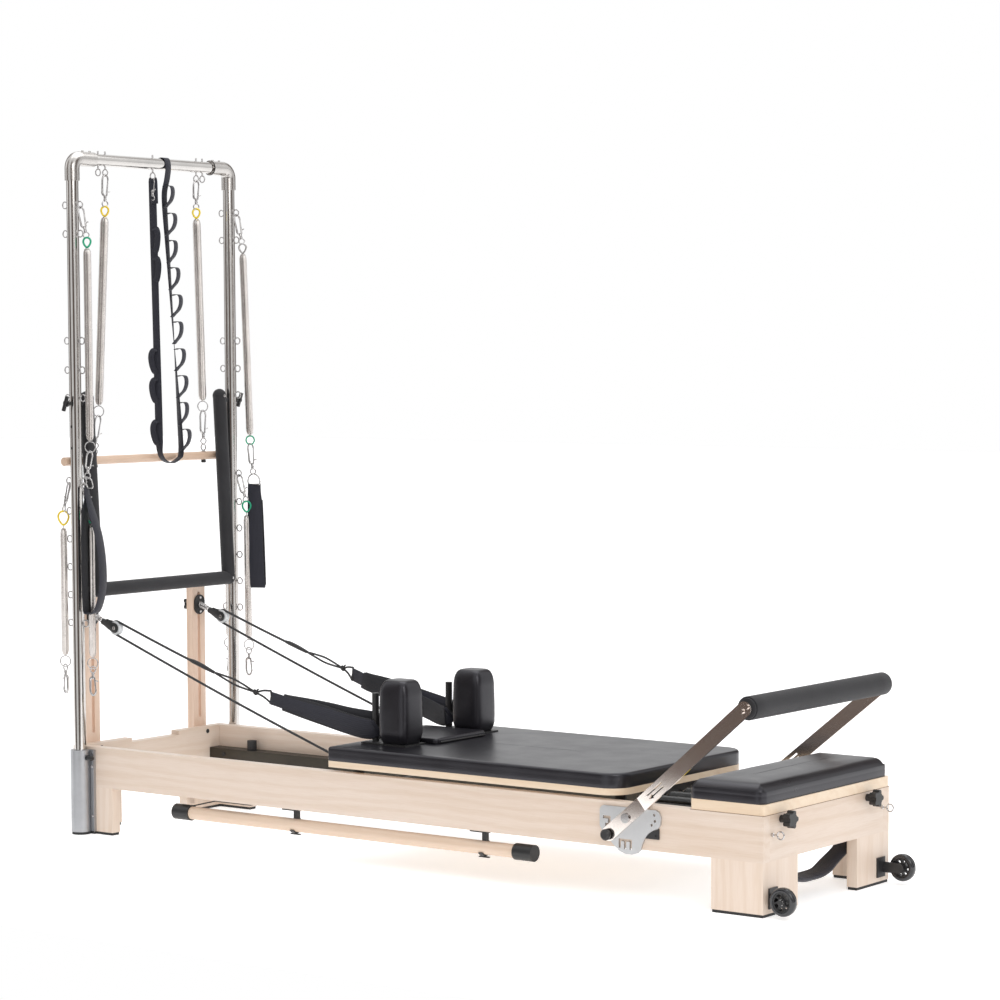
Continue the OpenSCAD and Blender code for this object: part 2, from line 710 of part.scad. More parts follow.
module riser(m) {
  y = m * post_y;
  dir = [cos(18.8), 0, -sin(18.8)];
  p0 = [6, y, riser_z];
  seg([0.1, y, riser_z + 8], [6, y, riser_z + 8], 46);
  seg([0.1, y, riser_z - 8], [6, y, riser_z - 8], 46);
  box([0.1, y - 23, riser_z - 8], [6, y + 23, riser_z + 8]);
  seg([-44, y, riser_z], [1, y, riser_z], 8);
  seg(p0 - 2 * dir, p0 + 34 * dir, 10);
  for (i = [0 : 3])
    at(p0.x + (6 + 6 * i) * dir.x, y, p0.z + (6 + 6 * i) * dir.z) rotate([0, 108.8, 0])
      rotate_extrude($fn = 32) translate([8, 0]) circle(d = 3.5, $fn = 12);
  at(sheave_s, y, sheave_z) rotate([0, 18.8, 0]) {
    translate([-68, -11, -9]) cube([16, 22, 18]);
    for (k = [-1, 1]) {
      translate([-60, k > 0 ? 9 : -11, -11]) cube([60, 2, 22]);
      translate([0, k > 0 ? 11 : -9, 0]) rotate([90, 0, 0]) cylinder(h = 2, d = 30);
    }
  }
  seg([sheave_s, y - 13, sheave_z], [sheave_s, y + 13, sheave_z], 8);
}

module riser_near() color([0.10, 0.10, 0.10]) riser(-1);
module riser_far() color([0.10, 0.10, 0.10]) riser(1);

module sheave(m)
  at(sheave_s, m * post_y, sheave_z) rotate([90, 0, 0]) difference() {
    union() {
      cylinder(h = 8, d = 33, center = true);
      for (k = [-1, 1])
        translate([0, 0, k * 6]) cylinder(h = 4, d = sheave_d, center = true);
    }
    cylinder(h = 20, d = 8.1, center = true);
  }

module sheave_near() color([0.85, 0.86, 0.87]) sheave(-1);
module sheave_far() color([0.85, 0.86, 0.87]) sheave(1);

module riser_knob(m)
  at(-28, m * post_y, riser_z) rotate([0, -90, 0]) difference() {
    union() {
      lobes(23, 18);
      translate([0, 0, -1.8]) cylinder(h = 2, d = 22);
    }
    translate([0, 0, -3]) cylinder(h = 19.2, d = 8.1);
  }

module riser_knob_near() color([0.05, 0.05, 0.05]) riser_knob(-1);
module riser_knob_far() color([0.05, 0.05, 0.05]) riser_knob(1);

// ---------- foot end ----------

module castor(m)
  at(castor_s, m * 311, castor_z) rotate([90, 0, 0]) difference() {
    union() {
      cylinder(h = 24, d = castor_d - 8, center = true);
      cylinder(h = 16, d = castor_d, center = true);
      cylinder(h = 28, d = 18, center = true);
    }
    cylinder(h = 40, d = 8.1, center = true);
  }

module castor_near() color([0.08, 0.08, 0.09]) castor(-1);
module castor_far() color([0.08, 0.08, 0.09]) castor(1);

module star(y)
  at(frame_l + 0.2, y, 247) rotate([0, 90, 0]) {
    cylinder(h = 20, d = 20);
    translate([0, 0, 18]) lobes(24, 20);
  }

module star_near() color([0.05, 0.05, 0.05]) star(-238);
module star_far() color([0.05, 0.05, 0.05]) star(205);

module clamp(m) {
  seg([69.5, m * (up_y + 4), 232], [81, m * (up_y + 4), 232], 7);
  seg([80.4, m * (up_y + 4), 232], [100, m * (up_y + 4), 232], 15);
  seg([100, m * (up_y + 4), 232], [104, m * (up_y + 4), 232], 15, 10);
}

module clamp_near() color([0.05, 0.05, 0.05]) clamp(-1);
module clamp_far() color([0.05, 0.05, 0.05]) clamp(1);

// ---------- nodes ----------

side_rails();
end_boards();
end_legs();
foot_pads();
inner_rails();
stoppers();
platform_board();
platform_pad();
pulley_posts();
tower_tubes();
tower_elbows();
post_holders();
eye_bolts();
gear_plates();
spring_bar();
wheel_brackets();
sling();
pole();
pole_fittings();
loop_strap();
carriage_board();
carriage_pad();
carriage_irons();
shoulder_pads();
shoulder_posts();
hand_straps();
carriage_springs();
ropes();
headrest();
axle_head();
axle_foot();
footbar_arms();
footbar_pad();
lock_near();
lock_far();
push_bar();
push_knob_near();
push_knob_far();
roll_bar();
long_springs();
side_spring_near();
side_spring_far();
hand_loop_near();
hand_loop_far();
leg_spring_near_in();
leg_spring_near_out();
leg_spring_far_in();
leg_spring_far_out();
riser_near();
riser_far();
sheave_near();
sheave_far();
riser_knob_near();
riser_knob_far();
castor_near();
castor_far();
star_near();
star_far();
clamp_near();
clamp_far();
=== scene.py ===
# Looks of the pilates reformer: materials, upholstery, springs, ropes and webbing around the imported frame.
import math

import bpy
from mathutils import Matrix, Vector, noise


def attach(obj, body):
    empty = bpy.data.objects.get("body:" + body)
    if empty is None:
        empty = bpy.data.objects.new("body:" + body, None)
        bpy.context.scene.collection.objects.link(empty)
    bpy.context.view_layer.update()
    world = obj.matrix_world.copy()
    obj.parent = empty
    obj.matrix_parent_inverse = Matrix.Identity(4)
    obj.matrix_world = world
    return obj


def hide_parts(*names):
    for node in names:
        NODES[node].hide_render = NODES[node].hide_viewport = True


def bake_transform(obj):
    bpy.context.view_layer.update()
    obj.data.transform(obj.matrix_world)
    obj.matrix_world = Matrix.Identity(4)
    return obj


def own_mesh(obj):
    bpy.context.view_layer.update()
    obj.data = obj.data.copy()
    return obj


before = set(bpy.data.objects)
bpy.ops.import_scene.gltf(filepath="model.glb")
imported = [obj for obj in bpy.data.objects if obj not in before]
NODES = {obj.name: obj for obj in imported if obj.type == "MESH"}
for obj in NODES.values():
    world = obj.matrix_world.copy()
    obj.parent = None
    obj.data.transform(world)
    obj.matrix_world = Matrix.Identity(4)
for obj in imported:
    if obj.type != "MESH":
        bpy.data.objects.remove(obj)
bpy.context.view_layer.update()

MM = 0.001
TAU = 2 * math.pi
MID = 1245  # station of the frame's origin, mm
UP = Vector((0, 0, 1))
ACROSS = Vector((0, 1, 0))
ALONG = Vector((1, 0, 0))
SIDES = (("near", -1), ("far", 1))  # the two long sides, and the way each lies across the bed


def at(s, y, z):
    """A point from its station along the bed, its place across it and its height, in mm."""
    return Vector(((s - MID) * MM, y * MM, z * MM))


# ---------- camera, light and floor ----------

CAMERA_AT = (5.201, -6.785, 1.4585)
CAMERA_YAW, CAMERA_PITCH, CAMERA_ROLL = 35.437, 4.283, -0.121
CAMERA_LENS = 107.9
CAMERA_SHIFT = (-0.07115, 0.07188)
PANEL_COUNT, PANEL_PHASE = 5.0, 3.18  # bright panels round the room, and where they stand
DARK_PANEL = (0.17, 0.135, 0.12)
FLOOR_HALF, FLOOR_FRONT = 30, -1.5  # the floor stops in front, so that the arms don't mirror it


def make_camera():
    data = bpy.data.cameras.new("camera")
    data.lens = CAMERA_LENS
    data.sensor_width = 36
    data.shift_x, data.shift_y = CAMERA_SHIFT
    data.clip_end = 60
    camera = bpy.data.objects.new("camera", data)
    turn = Matrix.Rotation(math.radians(CAMERA_YAW), 4, "Z")
    tilt = Matrix.Rotation(math.radians(90 - CAMERA_PITCH), 4, "X")
    roll = Matrix.Rotation(math.radians(CAMERA_ROLL), 4, "Z")
    camera.matrix_world = Matrix.Translation(CAMERA_AT) @ turn @ tilt @ roll
    bpy.context.scene.collection.objects.link(camera)
    bpy.context.scene.camera = camera


def area_light(name, place, target, size, power, colour=(1, 1, 1)):
    data = bpy.data.lights.new(name, "AREA")
    data.shape = "RECTANGLE"
    data.size, data.size_y = size
    data.energy = power
    data.color = colour
    lamp = bpy.data.objects.new(name, data)
    lamp.location = place
    lamp.rotation_euler = (Vector(target) - Vector(place)).to_track_quat("-Z", "Y").to_euler()
    bpy.context.scene.collection.objects.link(lamp)


def make_world():
    """White for the camera; a soft room with bright panels and dark gaps for light and reflections."""
    world = bpy.data.worlds.new("studio")
    bpy.context.scene.world = world
    world.use_nodes = True
    tree = world.node_tree
    seen = tree.nodes["Background"]
    seen.inputs["Color"].default_value = (1, 1, 1, 1)
    seen.inputs["Strength"].default_value = 1.0
    way = add(tree, "ShaderNodeTexCoord").outputs["Generated"]
    parts = add(tree, "ShaderNodeSeparateXYZ", {"Vector": way}).outputs
    turn = maths(tree, "ARCTAN2", parts["Y"], parts["X"])
    panels = maths(tree, "SINE", maths(tree, "MULTIPLY_ADD", turn, PANEL_COUNT, PANEL_PHASE))
    panels = maths(tree, "MULTIPLY_ADD", panels, 0.5, 0.5)
    panels = ramp(tree, panels, (0.30, DARK_PANEL), (0.62, 1.0))
    level = ramp(tree, parts["Z"], (0.0, 0.80), (0.45, 1.0))
    room = blend_colour(tree, 1.0, panels, level, "MULTIPLY")
    upward = ramp(tree, parts["Z"], (0.55, 0.0), (0.80, 1.0))
    room = blend_colour(tree, upward, room, (1, 1, 1, 1))
    lit = add(tree, "ShaderNodeBackground", {"Color": room, "Strength": 1.0})
    camera_ray = add(tree, "ShaderNodeLightPath").outputs["Is Camera Ray"]
    both = add(tree, "ShaderNodeMixShader", {0: camera_ray, 1: lit.outputs[0], 2: seen.outputs[0]})
    tree.links.new(both.outputs[0], tree.nodes["World Output"].inputs["Surface"])


def make_stage():
    make_world()
    bpy.context.scene.view_settings.view_transform = "Standard"
    area_light("key", (4.6, -3.6, 3.6), (0.6, 0, 0.4), (3.5, 3.0), 88, (1.0, 0.985, 0.965))
    area_light("fill", (-4.5, -3.0, 3.2), (0, 0, 0.6), (3.0, 2.5), 8)
    area_light("top", (-0.3, 0.6, 4.6), (0, 0, 0), (4.5, 3.0), 62)
    mesh = bpy.data.meshes.new("floor")
    corners = [(-1, FLOOR_FRONT), (1, FLOOR_FRONT), (1, FLOOR_HALF), (-1, FLOOR_HALF)]
    mesh.from_pydata([(x * FLOOR_HALF, y, 0) for x, y in corners], [], [(0, 1, 2, 3)])
    floor = bpy.data.objects.new("floor", mesh)
    bpy.context.scene.collection.objects.link(floor)
    paint = (0.93, 0.93, 0.935)
    material, _, skin = shader("floor_paint", base=paint, Roughness=0.6, Emission_Strength=0.50)
    skin.inputs["Emission Color"].default_value = (1, 1, 1, 1)
    mesh.materials.append(material)


# ---------- material building ----------

def shader(name, base=(0.5, 0.5, 0.5), **values):
    """A new material and its Principled shader, with what is the same all over set on its own sockets."""
    material = bpy.data.materials.new(name)
    material.use_nodes = True
    tree = material.node_tree
    skin = tree.nodes["Principled BSDF"]
    skin.inputs["Base Color"].default_value = (*base, 1)
    for key, value in values.items():
        skin.inputs[key.replace("_", " ")].default_value = value
    return material, tree, skin


def feed(tree, socket, value):
    """A socket set to a value, or linked from another node's output."""
    if isinstance(value, bpy.types.NodeSocket):
        tree.links.new(value, socket)
    else:
        socket.default_value = value


def add(tree, kind, sockets=None, **settings):
    """A node with its settings, its inputs set to values or linked from other nodes' outputs."""
    made = tree.nodes.new(kind)
    for key, value in settings.items():
        setattr(made, key, value)
    for key, value in (sockets or {}).items():
        feed(tree, made.inputs[key], value)
    return made


def place(tree, scale=(1, 1, 1), shift=(0, 0, 0), uv=False):
    """Coordinates in metres on the piece, or along and across a strap or rope, then scaled."""
    if uv:
        source = add(tree, "ShaderNodeUVMap", uv_map="run").outputs["UV"]
    else:
        source = add(tree, "ShaderNodeTexCoord").outputs["Object"]
    sockets = {"Vector": source, "Location": shift, "Scale": scale}
    return add(tree, "ShaderNodeMapping", sockets).outputs["Vector"]


def cloud(tree, vector, scale, detail=4.0, rough=0.5, warp=0.0):
    sockets = {"Vector": vector, "Scale": scale, "Detail": detail, "Roughness": rough, "Distortion": warp}
    return add(tree, "ShaderNodeTexNoise", sockets).outputs["Fac"]


def ramp(tree, fac, *stops):
    """A colour ramp; each stop is its place and a grey value or a colour."""
    made = add(tree, "ShaderNodeValToRGB", {"Fac": fac})
    row = made.color_ramp.elements
    while len(row) < len(stops):
        row.new(0.5)
    for element, (where, colour) in zip(row, stops):
        element.position = where
        shade = colour if isinstance(colour, tuple) else (colour, colour, colour)
        element.color = (*shade, 1)
    return made.outputs["Color"]


def maths(tree, operation, a, b=0.0, c=0.0):
    made = add(tree, "ShaderNodeMath", operation=operation)
    for socket, value in zip(made.inputs, (a, b, c)):
        feed(tree, socket, value)
    return made.outputs["Value"]


def blend_colour(tree, fac, a, b, mode="MIX"):
    made = add(tree, "ShaderNodeMix", data_type="RGBA", blend_type=mode)
    for number, value in ((0, fac), (6, a), (7, b)):
        feed(tree, made.inputs[number], value)
    return made.outputs[2]


def relief(tree, skin, height, strength, depth):
    bump = add(tree, "ShaderNodeBump", {"Height": height, "Strength": strength, "Distance": depth})
    tree.links.new(bump.outputs["Normal"], skin.inputs["Normal"])


def link(tree, value, skin, socket):
    tree.links.new(value, skin.inputs[socket])


def drive(tree, skin, socket, fac, *stops):
    """A socket of the shader that follows a colour ramp."""
    link(tree, ramp(tree, fac, *stops), skin, socket)


# ---------- the materials ----------

def stretched(axis, along, across):
    return tuple(along if i == axis else across for i in range(3))


def wood(name, axis, seed, pale=(0.77, 0.655, 0.565), deep=(0.66, 0.515, 0.40)):
    """Lacquered timber with its grain along one axis."""
    material, tree, skin = shader(name, pale, Coat_Weight=0.25, Coat_Roughness=0.3)
    shift = (seed * 1.7, seed * 0.9, seed * 2.3)
    broad = cloud(tree, place(tree, stretched(axis, 0.55, 5.0), shift), 1.6, 3.0, 0.5, 0.6)
    rings = {"Vector": place(tree, stretched(axis, 0.10, 1.0), shift), "Scale": 11.0, "Distortion": 9.0}
    rings.update({"Detail": 3.0, "Detail Scale": 1.4, "Detail Roughness": 0.55})
    wave = add(tree, "ShaderNodeTexWave", rings, wave_type="RINGS", rings_direction="XYZ"[axis])
    lines = wave.outputs["Fac"]
    fibre = cloud(tree, place(tree, stretched(axis, 6.0, 160.0), shift), 3.0, 3.0, 0.6)
    fleck = cloud(tree, place(tree, stretched(axis, 14.0, 90.0), shift), 2.2, 2.0, 0.5)
    tone = 0.0
    shares = [(lines, 0.30, 0.95, 0.30), (broad, 0.35, 0.70, 0.42)]
    shares += [(fibre, 0.40, 0.62, 0.22), (fleck, 0.62, 0.70, 0.10)]
    for source, low, high, share in shares:
        darker = ramp(tree, source, (low, 0.0), (high, 1.0))
        tone = maths(tree, "MULTIPLY_ADD", darker, share, tone)
    link(tree, blend_colour(tree, tone, (*pale, 1), (*deep, 1)), skin, "Base Color")
    drive(tree, skin, "Roughness", fibre, (0.3, 0.34), (0.7, 0.48))
    relief(tree, skin, fibre, 0.10, 0.0003)
    return material


def vinyl(name):
    """Upholstery vinyl with a fine pebble grain."""
    base, rough = (0.0085, 0.0082, 0.0105), (0.27, 0.36)
    material, tree, skin = shader(name, base, Specular_IOR_Level=0.62, Specular_Tint=(0.93, 0.92, 1.0, 1.0))
    where = place(tree)
    cells = add(tree, "ShaderNodeTexVoronoi", {"Vector": where, "Scale": 620.0}, feature="SMOOTH_F1")
    grain = cells.outputs["Distance"]
    cloudy = cloud(tree, where, 9.0, 4.0, 0.6)
    fine = cloud(tree, where, 260.0, 2.0, 0.5)
    tint = ramp(tree, cloudy, (0.3, base), (0.75, tuple(c * 1.5 for c in base)))
    link(tree, tint, skin, "Base Color")
    drive(tree, skin, "Roughness", cloudy, (0.25, rough[0]), (0.75, rough[1]))
    relief(tree, skin, maths(tree, "ADD", grain, maths(tree, "MULTIPLY", fine, 0.5)), 0.16, 0.00025)
    return material


def metal(name, base, rough, axis=None, grain=0.0, streak=220.0):
    """Bare or plated metal; a grain along one axis where it is brushed."""
    material, tree, skin = shader(name, base, Metallic=1.0)
    scale = (1, 1, 1) if axis is None else stretched(axis, 0.03, 1.0)
    lines = cloud(tree, place(tree, scale), streak, 3.0, 0.6)
    smear = cloud(tree, place(tree), 14.0, 3.0, 0.6)
    wear = maths(tree, "ADD", maths(tree, "MULTIPLY", lines, grain), maths(tree, "MULTIPLY", smear, 0.5))
    drive(tree, skin, "Roughness", wear, (0.15, max(0.03, rough - 0.06)), (0.85, rough + 0.08))
    dull = tuple(c * 0.86 for c in base)
    drive(tree, skin, "Base Color", smear, (0.3, base), (0.75, dull))
    relief(tree, skin, lines, 0.05 + grain * 0.10, 0.0002)
    return material


def moulded(name, base, rough, texture=420.0, depth=0.12, coat=0.0):
    """Moulded plastic, rubber or powder coat with a fine texture."""
    material, tree, skin = shader(name, base, Coat_Weight=coat, Coat_Roughness=0.15)
    speck = cloud(tree, place(tree), texture, 3.0, 0.6)
    wide = cloud(tree, place(tree), 22.0, 3.0, 0.5)
    lighter = tuple(min(1.0, c * 1.35 + 0.002) for c in base)
    drive(tree, skin, "Base Color", wide, (0.3, base), (0.8, lighter))
    drive(tree, skin, "Roughness", speck, (0.3, rough - 0.05), (0.7, rough + 0.07))
    relief(tree, skin, speck, depth, 0.0003)
    return material


def foam_grip(name, axis):
    """Closed-cell foam tube with a fine drawn skin."""
    material, tree, skin = shader(name, (0.022, 0.022, 0.025), Sheen_Weight=0.12)
    pores = add(tree, "ShaderNodeTexVoronoi", {"Vector": place(tree), "Scale": 900.0}).outputs["Distance"]
    drawn = cloud(tree, place(tree, stretched(axis, 0.04, 1.0)), 500.0, 2.0, 0.5)
    wide = cloud(tree, place(tree), 12.0, 3.0, 0.5)
    dark, light = (0.015, 0.015, 0.018), (0.024, 0.024, 0.028)
    drive(tree, skin, "Base Color", wide, (0.3, dark), (0.8, light))
    drive(tree, skin, "Roughness", pores, (0.0, 0.62), (0.7, 0.78))
    relief(tree, skin, maths(tree, "ADD", pores, drawn), 0.25, 0.0004)
    return material


def woven(name, base=(0.0105, 0.0112, 0.019), pitch=1.7, pick=2.2, gloss=0.62):
    """Woven webbing: ribs along the strap crossed by the weft, on the strap's own run and width in mm."""
    material, tree, skin = shader(name, base, Sheen_Weight=0.15)
    run = add(tree, "ShaderNodeSeparateXYZ", {"Vector": place(tree, uv=True)})
    along = maths(tree, "SINE", maths(tree, "MULTIPLY", run.outputs["X"], TAU / pick))
    across = maths(tree, "SINE", maths(tree, "MULTIPLY", run.outputs["Y"], TAU / pitch))
    weave = maths(tree, "MULTIPLY", along, across)
    height = maths(tree, "ADD", maths(tree, "MULTIPLY", weave, 0.5), maths(tree, "MULTIPLY", across, 0.3))
    fuzz = cloud(tree, place(tree), 700.0, 3.0, 0.7)
    light = tuple(c * 2.2 for c in base)
    # Painted shade: the colour follows the weave's height, lighter on the raised threads and darker in the
    # hollows between them.
    drive(tree, skin, "Base Color", maths(tree, "ADD", height, fuzz), (0.2, base), (1.2, light))
    drive(tree, skin, "Roughness", fuzz, (0.3, gloss), (0.7, gloss + 0.2))
    relief(tree, skin, maths(tree, "ADD", height, maths(tree, "MULTIPLY", fuzz, 0.4)), 0.6, 0.0004)
    return material


def braided(name):
    """Braided rope: two families of strands crossing round it."""
    base, lay = (0.012, 0.012, 0.013), 7.0
    material, tree, skin = shader(name, base, Sheen_Weight=0.15)
    run = add(tree, "ShaderNodeSeparateXYZ", {"Vector": place(tree, uv=True)})
    turn = maths(tree, "MULTIPLY", run.outputs["Y"], TAU * 4)
    step = maths(tree, "MULTIPLY", run.outputs["X"], TAU / lay)
    left = maths(tree, "SINE", maths(tree, "ADD", turn, step))
    right = maths(tree, "SINE", maths(tree, "SUBTRACT", turn, step))
    height = maths(tree, "MAXIMUM", left, right)
    fuzz = cloud(tree, place(tree), 900.0, 2.0, 0.6)
    # Painted shade: the colour follows the strands' height, lighter on their crests and darker in the grooves
    # between them.
    drive(tree, skin, "Base Color", height, (0.0, base), (1.0, tuple(c * 3.0 for c in base)))
    drive(tree, skin, "Roughness", fuzz, (0.3, 0.62), (0.7, 0.8))
    relief(tree, skin, height, 0.7, 0.0006)
    return material


def clear_white(name):
    """Pale translucent-looking plastic with a faint haze."""
    material, tree, skin = shader(name, (0.80, 0.82, 0.84), Roughness=0.18, Coat_Weight=0.4)
    haze = cloud(tree, place(tree), 60.0, 3.0, 0.5)
    drive(tree, skin, "Base Color", haze, (0.3, (0.74, 0.77, 0.80)), (0.7, (0.86, 0.88, 0.90)))
    drive(tree, skin, "Roughness", haze, (0.3, 0.14), (0.7, 0.26))
    return material


MAPLE_X = wood("maple_rails", 0, 1)
MAPLE_Y = wood("maple_ends", 1, 4)
MAPLE_LEG = wood("maple_legs", 2, 7, (0.79, 0.67, 0.575), (0.69, 0.54, 0.42))
MAPLE_POST = wood("maple_posts", 2, 11, (0.88, 0.69, 0.56), (0.74, 0.53, 0.40))
PLY_EDGE = wood("maple_deck", 0, 15, (0.84, 0.70, 0.54), (0.76, 0.58, 0.41))
BEECH_X = wood("dowel_pole", 0, 19, (0.76, 0.60, 0.475), (0.66, 0.49, 0.36))
BEECH_Y = wood("dowel_bar", 1, 23, (0.76, 0.57, 0.44), (0.65, 0.45, 0.32))
VINYL = vinyl("black_vinyl")
CHROME = metal("polished_tube", (0.66, 0.64, 0.62), 0.13, 2, 0.25, 420.0)
CAST = metal("cast_elbow", (0.60, 0.58, 0.56), 0.26, None, 0.3, 300.0)
PLATE = metal("polished_plate", (0.93, 0.86, 0.81), 0.15, None, 0.15, 160.0)
GEAR = metal("brushed_plate", (0.64, 0.65, 0.66), 0.36, 0, 0.6, 500.0)
ALUMINIUM = metal("anodised_channel", (0.47, 0.48, 0.50), 0.38, 2, 0.8, 520.0)
SPRING = metal("spring_wire", (0.76, 0.725, 0.70), 0.20, None, 0.1, 120.0)
DARK_SPRING = metal("bed_spring_wire", (0.10, 0.10, 0.10), 0.26, None, 0.1, 120.0)
STEEL = metal("hook_steel", (0.60, 0.59, 0.59), 0.13, None, 0.2, 200.0)
# Brown for the strip round the platform board's foot: painted shade, standing for the shadow line in the
# seam.
SEAM_SHADE = moulded("seam_shadow", (0.20, 0.12, 0.07), 0.8)
TRACK = metal("dark_track", (0.085, 0.080, 0.070), 0.42, 0, 0.6, 380.0)
POWDER = moulded("powder_coat", (0.017, 0.017, 0.018), 0.42, 800.0, 0.18)
PLASTIC = moulded("black_plastic", (0.014, 0.014, 0.015), 0.38, 500.0, 0.10)
RUBBER = moulded("black_rubber", (0.018, 0.018, 0.019), 0.62, 500.0, 0.16)
WHEEL = moulded("wheel_tyre", (0.010, 0.011, 0.014), 0.16, 120.0, 0.03, 0.6)
YELLOW = moulded("yellow_sleeve", (0.86, 0.60, 0.03), 0.30, 300.0, 0.05, 0.3)
GREEN = moulded("green_sleeve", (0.01, 0.36, 0.19), 0.30, 300.0, 0.05, 0.3)
SHEAVE = clear_white("clear_sheave")
GRIP_Y = foam_grip("foam_grip", 1)
WEBBING = woven("webbing")
SLEEVE = woven("padded_sleeve", (0.0088, 0.0092, 0.0125), 1.1, 1.1, 0.7)
ROPE = braided("rope")


# ---------- mesh building ----------

def joined(*parts):
    """Several (points, faces, run) parts as one; run holds each face corner's place along and across."""
    points, faces, run = [], [], []
    for more_points, more_faces, more_run in parts:
        base = len(points)
        points += more_points
        faces += [tuple(i + base for i in face) for face in more_faces]
        run += more_run
    return points, faces, run


def piece(name, body, parts, stands_for=(), smooth=40):
    """A mesh piece from parts of (shape, material), riding on a CAD body unless body is None."""
    points, faces, run = joined(*[shape for shape, _ in parts])
    mesh = bpy.data.meshes.new(name)
    mesh.from_pydata([tuple(p) for p in points], [], faces)
    corner = mesh.uv_layers.new(name="run")
    flat = [value for face in run for pair in face for value in pair]
    corner.data.foreach_set("uv", flat)
    materials = []
    index = []
    for (_, shape_faces, _), material in parts:
        if material not in materials:
            materials.append(material)
            mesh.materials.append(material)
        index += [materials.index(material)] * len(shape_faces)
    mesh.polygons.foreach_set("material_index", index)
    mesh.validate()
    mesh.shade_smooth()
    mesh.set_sharp_from_angle(angle=math.radians(smooth))
    mesh.update()
    made = bpy.data.objects.new(name, mesh)
    bpy.context.scene.collection.objects.link(made)
    if body:
        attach(made, body)
    if stands_for:
        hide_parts(*stands_for)
    return made


def loft(rings, closed_run=False, lengths=None, width=1.0):
    """Faces between rings of points, with the run along them in mm and across from 0 to width."""
    count = len(rings[0])
    points = [p for ring in rings for p in ring]
    if lengths is None:
        lengths = [0.0]
        for a, b in zip(rings, rings[1:]):
            lengths.append(lengths[-1] + (b[0] - a[0]).length / MM)
    faces, run = [], []
    steps = len(rings) if closed_run else len(rings) - 1
    for i in range(steps):
        j = (i + 1) % len(rings)
        low, high = lengths[i], lengths[j] if j > i else 2 * lengths[i] - lengths[i - 1]
        for k in range(count):
            n = (k + 1) % count
            faces.append((i * count + k, i * count + n, j * count + n, j * count + k))
            u, v = k / count * width, (k + 1) / count * width
            run.append(((low, u), (low, v), (high, v), (high, u)))
    if not closed_run:
        for start, flip in ((0, True), ((len(rings) - 1) * count, False)):
            face = tuple(range(start, start + count))
            faces.append(face[::-1] if flip else face)
            run.append(tuple((0.0, 0.0) for _ in face))
    return points, faces, run


def frames(path, closed=False):
    """Tangent and two normals at each point of a path, carried along without twist."""
    count = len(path)
    tangents = []
    for i in range(count):
        before = path[i - 1] if i or closed else path[0]
        after = path[(i + 1) % count] if i + 1 < count or closed else path[-1]
        tangents.append((after - before).normalized())
    normal = tangents[0].orthogonal().normalized()
    rows = []
    for tangent in tangents:
        normal = (normal - tangent * normal.dot(tangent)).normalized()
        rows.append((tangent, normal, tangent.cross(normal)))
    return rows


def tube(path, radius, sides=12, closed=False):
    """A round bar along a path; radius in mm is one number or one for each point."""
    radii = radius if isinstance(radius, list) else [radius] * len(path)
    turns = [TAU * k / sides for k in range(sides)]
    rings = []
    for p, r, (_, a, b) in zip(path, radii, frames(path, closed)):
        rings.append([p + (a * math.cos(t) + b * math.sin(t)) * r * MM for t in turns])
    return loft(rings, closed_run=closed)


def turned(profile, centre, axis, sides=32):
    """A turned piece: profile is (radius, height) in mm along the axis, closed on itself."""
    axis = Vector(axis).normalized()
    a = axis.orthogonal().normalized()
    b = axis.cross(a)
    rings = []
    for k in range(sides):
        out = a * math.cos(TAU * k / sides) + b * math.sin(TAU * k / sides)
        rings.append([centre + out * r * MM + axis * h * MM for r, h in profile])
    return loft(rings, closed_run=True)


def mirrored(half, *middle):
    """A turned profile the same on both sides: one half, what lies in the middle, and the half again."""
    return half + list(middle) + [(r, -h) for r, h in reversed(half)]


def bevelled(radius, low, high, edge=1.0, hole=0.0):
    """Profile of a disc or bush with rounded rims."""
    steps = [i * math.pi / 8 for i in range(5)]
    outer = [(radius - edge + edge * math.sin(t), low + edge - edge * math.cos(t)) for t in steps]
    outer += [(radius - edge + edge * math.cos(t), high - edge + edge * math.sin(t)) for t in steps]
    inner = max(hole, 0.01)
    return [(inner, low)] + outer + [(inner, high)]


def hoop(centre, radius, wire, normal, sides=10, steps=28, stretch=1.0, point=None):
    """A wire ring round a normal; stretch lengthens its lower half, as on a thimble."""
    normal = Vector(normal).normalized()
    a = UP if point is None else Vector(point).normalized()
    a = (a - normal * a.dot(normal)).normalized()
    b = normal.cross(a)
    path = []
    for k in range(steps):
        t = TAU * k / steps
        up = math.cos(t)
        lift = up * (stretch if up < 0 else 1.0)
        side = math.sin(t) * (1.0 if up > 0 else (1 - 0.35 * (stretch - 1) * up * up * 2))
        path.append(centre + a * radius * MM * lift + b * radius * MM * side)
    return tube(path, wire / 2, sides, closed=True)


def coil(start, end, diameter, wire, small=7.0, taper=20.0, sides=6, steps=18, pitch=1.03):
    """A close-wound spring between two points, drawn in at both ends."""
    axis = end - start
    length = axis.length / MM
    axis = axis.normalized()
    a = axis.orthogonal().normalized()
    b = axis.cross(a)
    turns = int(length / (wire * pitch))
    path = []
    for k in range(turns * steps + 1):
        along = length * k / (turns * steps)
        edge = min(along, length - along, taper) / taper
        radius = small / 2 + (diameter - wire - small) / 2 * math.sqrt(max(0.0, 1 - (1 - edge) ** 2))
        t = TAU * k / steps
        path.append(start + axis * along * MM + (a * math.cos(t) + b * math.sin(t)) * radius * MM)
    return tube(path, wire / 2, sides)


def smooth_path(points, per=8):
    """A Catmull-Rom curve through given points."""
    full = [points[0] * 2 - points[1]] + points + [points[-1] * 2 - points[-2]]
    path = []
    for i in range(1, len(full) - 2):
        p0, p1, p2, p3 = full[i - 1 : i + 3]
        for k in range(per):
            t = k / per
            square, cube = 2 * p0 - 5 * p1 + 4 * p2 - p3, 3 * p1 - p0 - 3 * p2 + p3
            path.append(0.5 * (2 * p1 + (p2 - p0) * t + square * t * t + cube * t**3))
    path.append(points[-1])
    return path


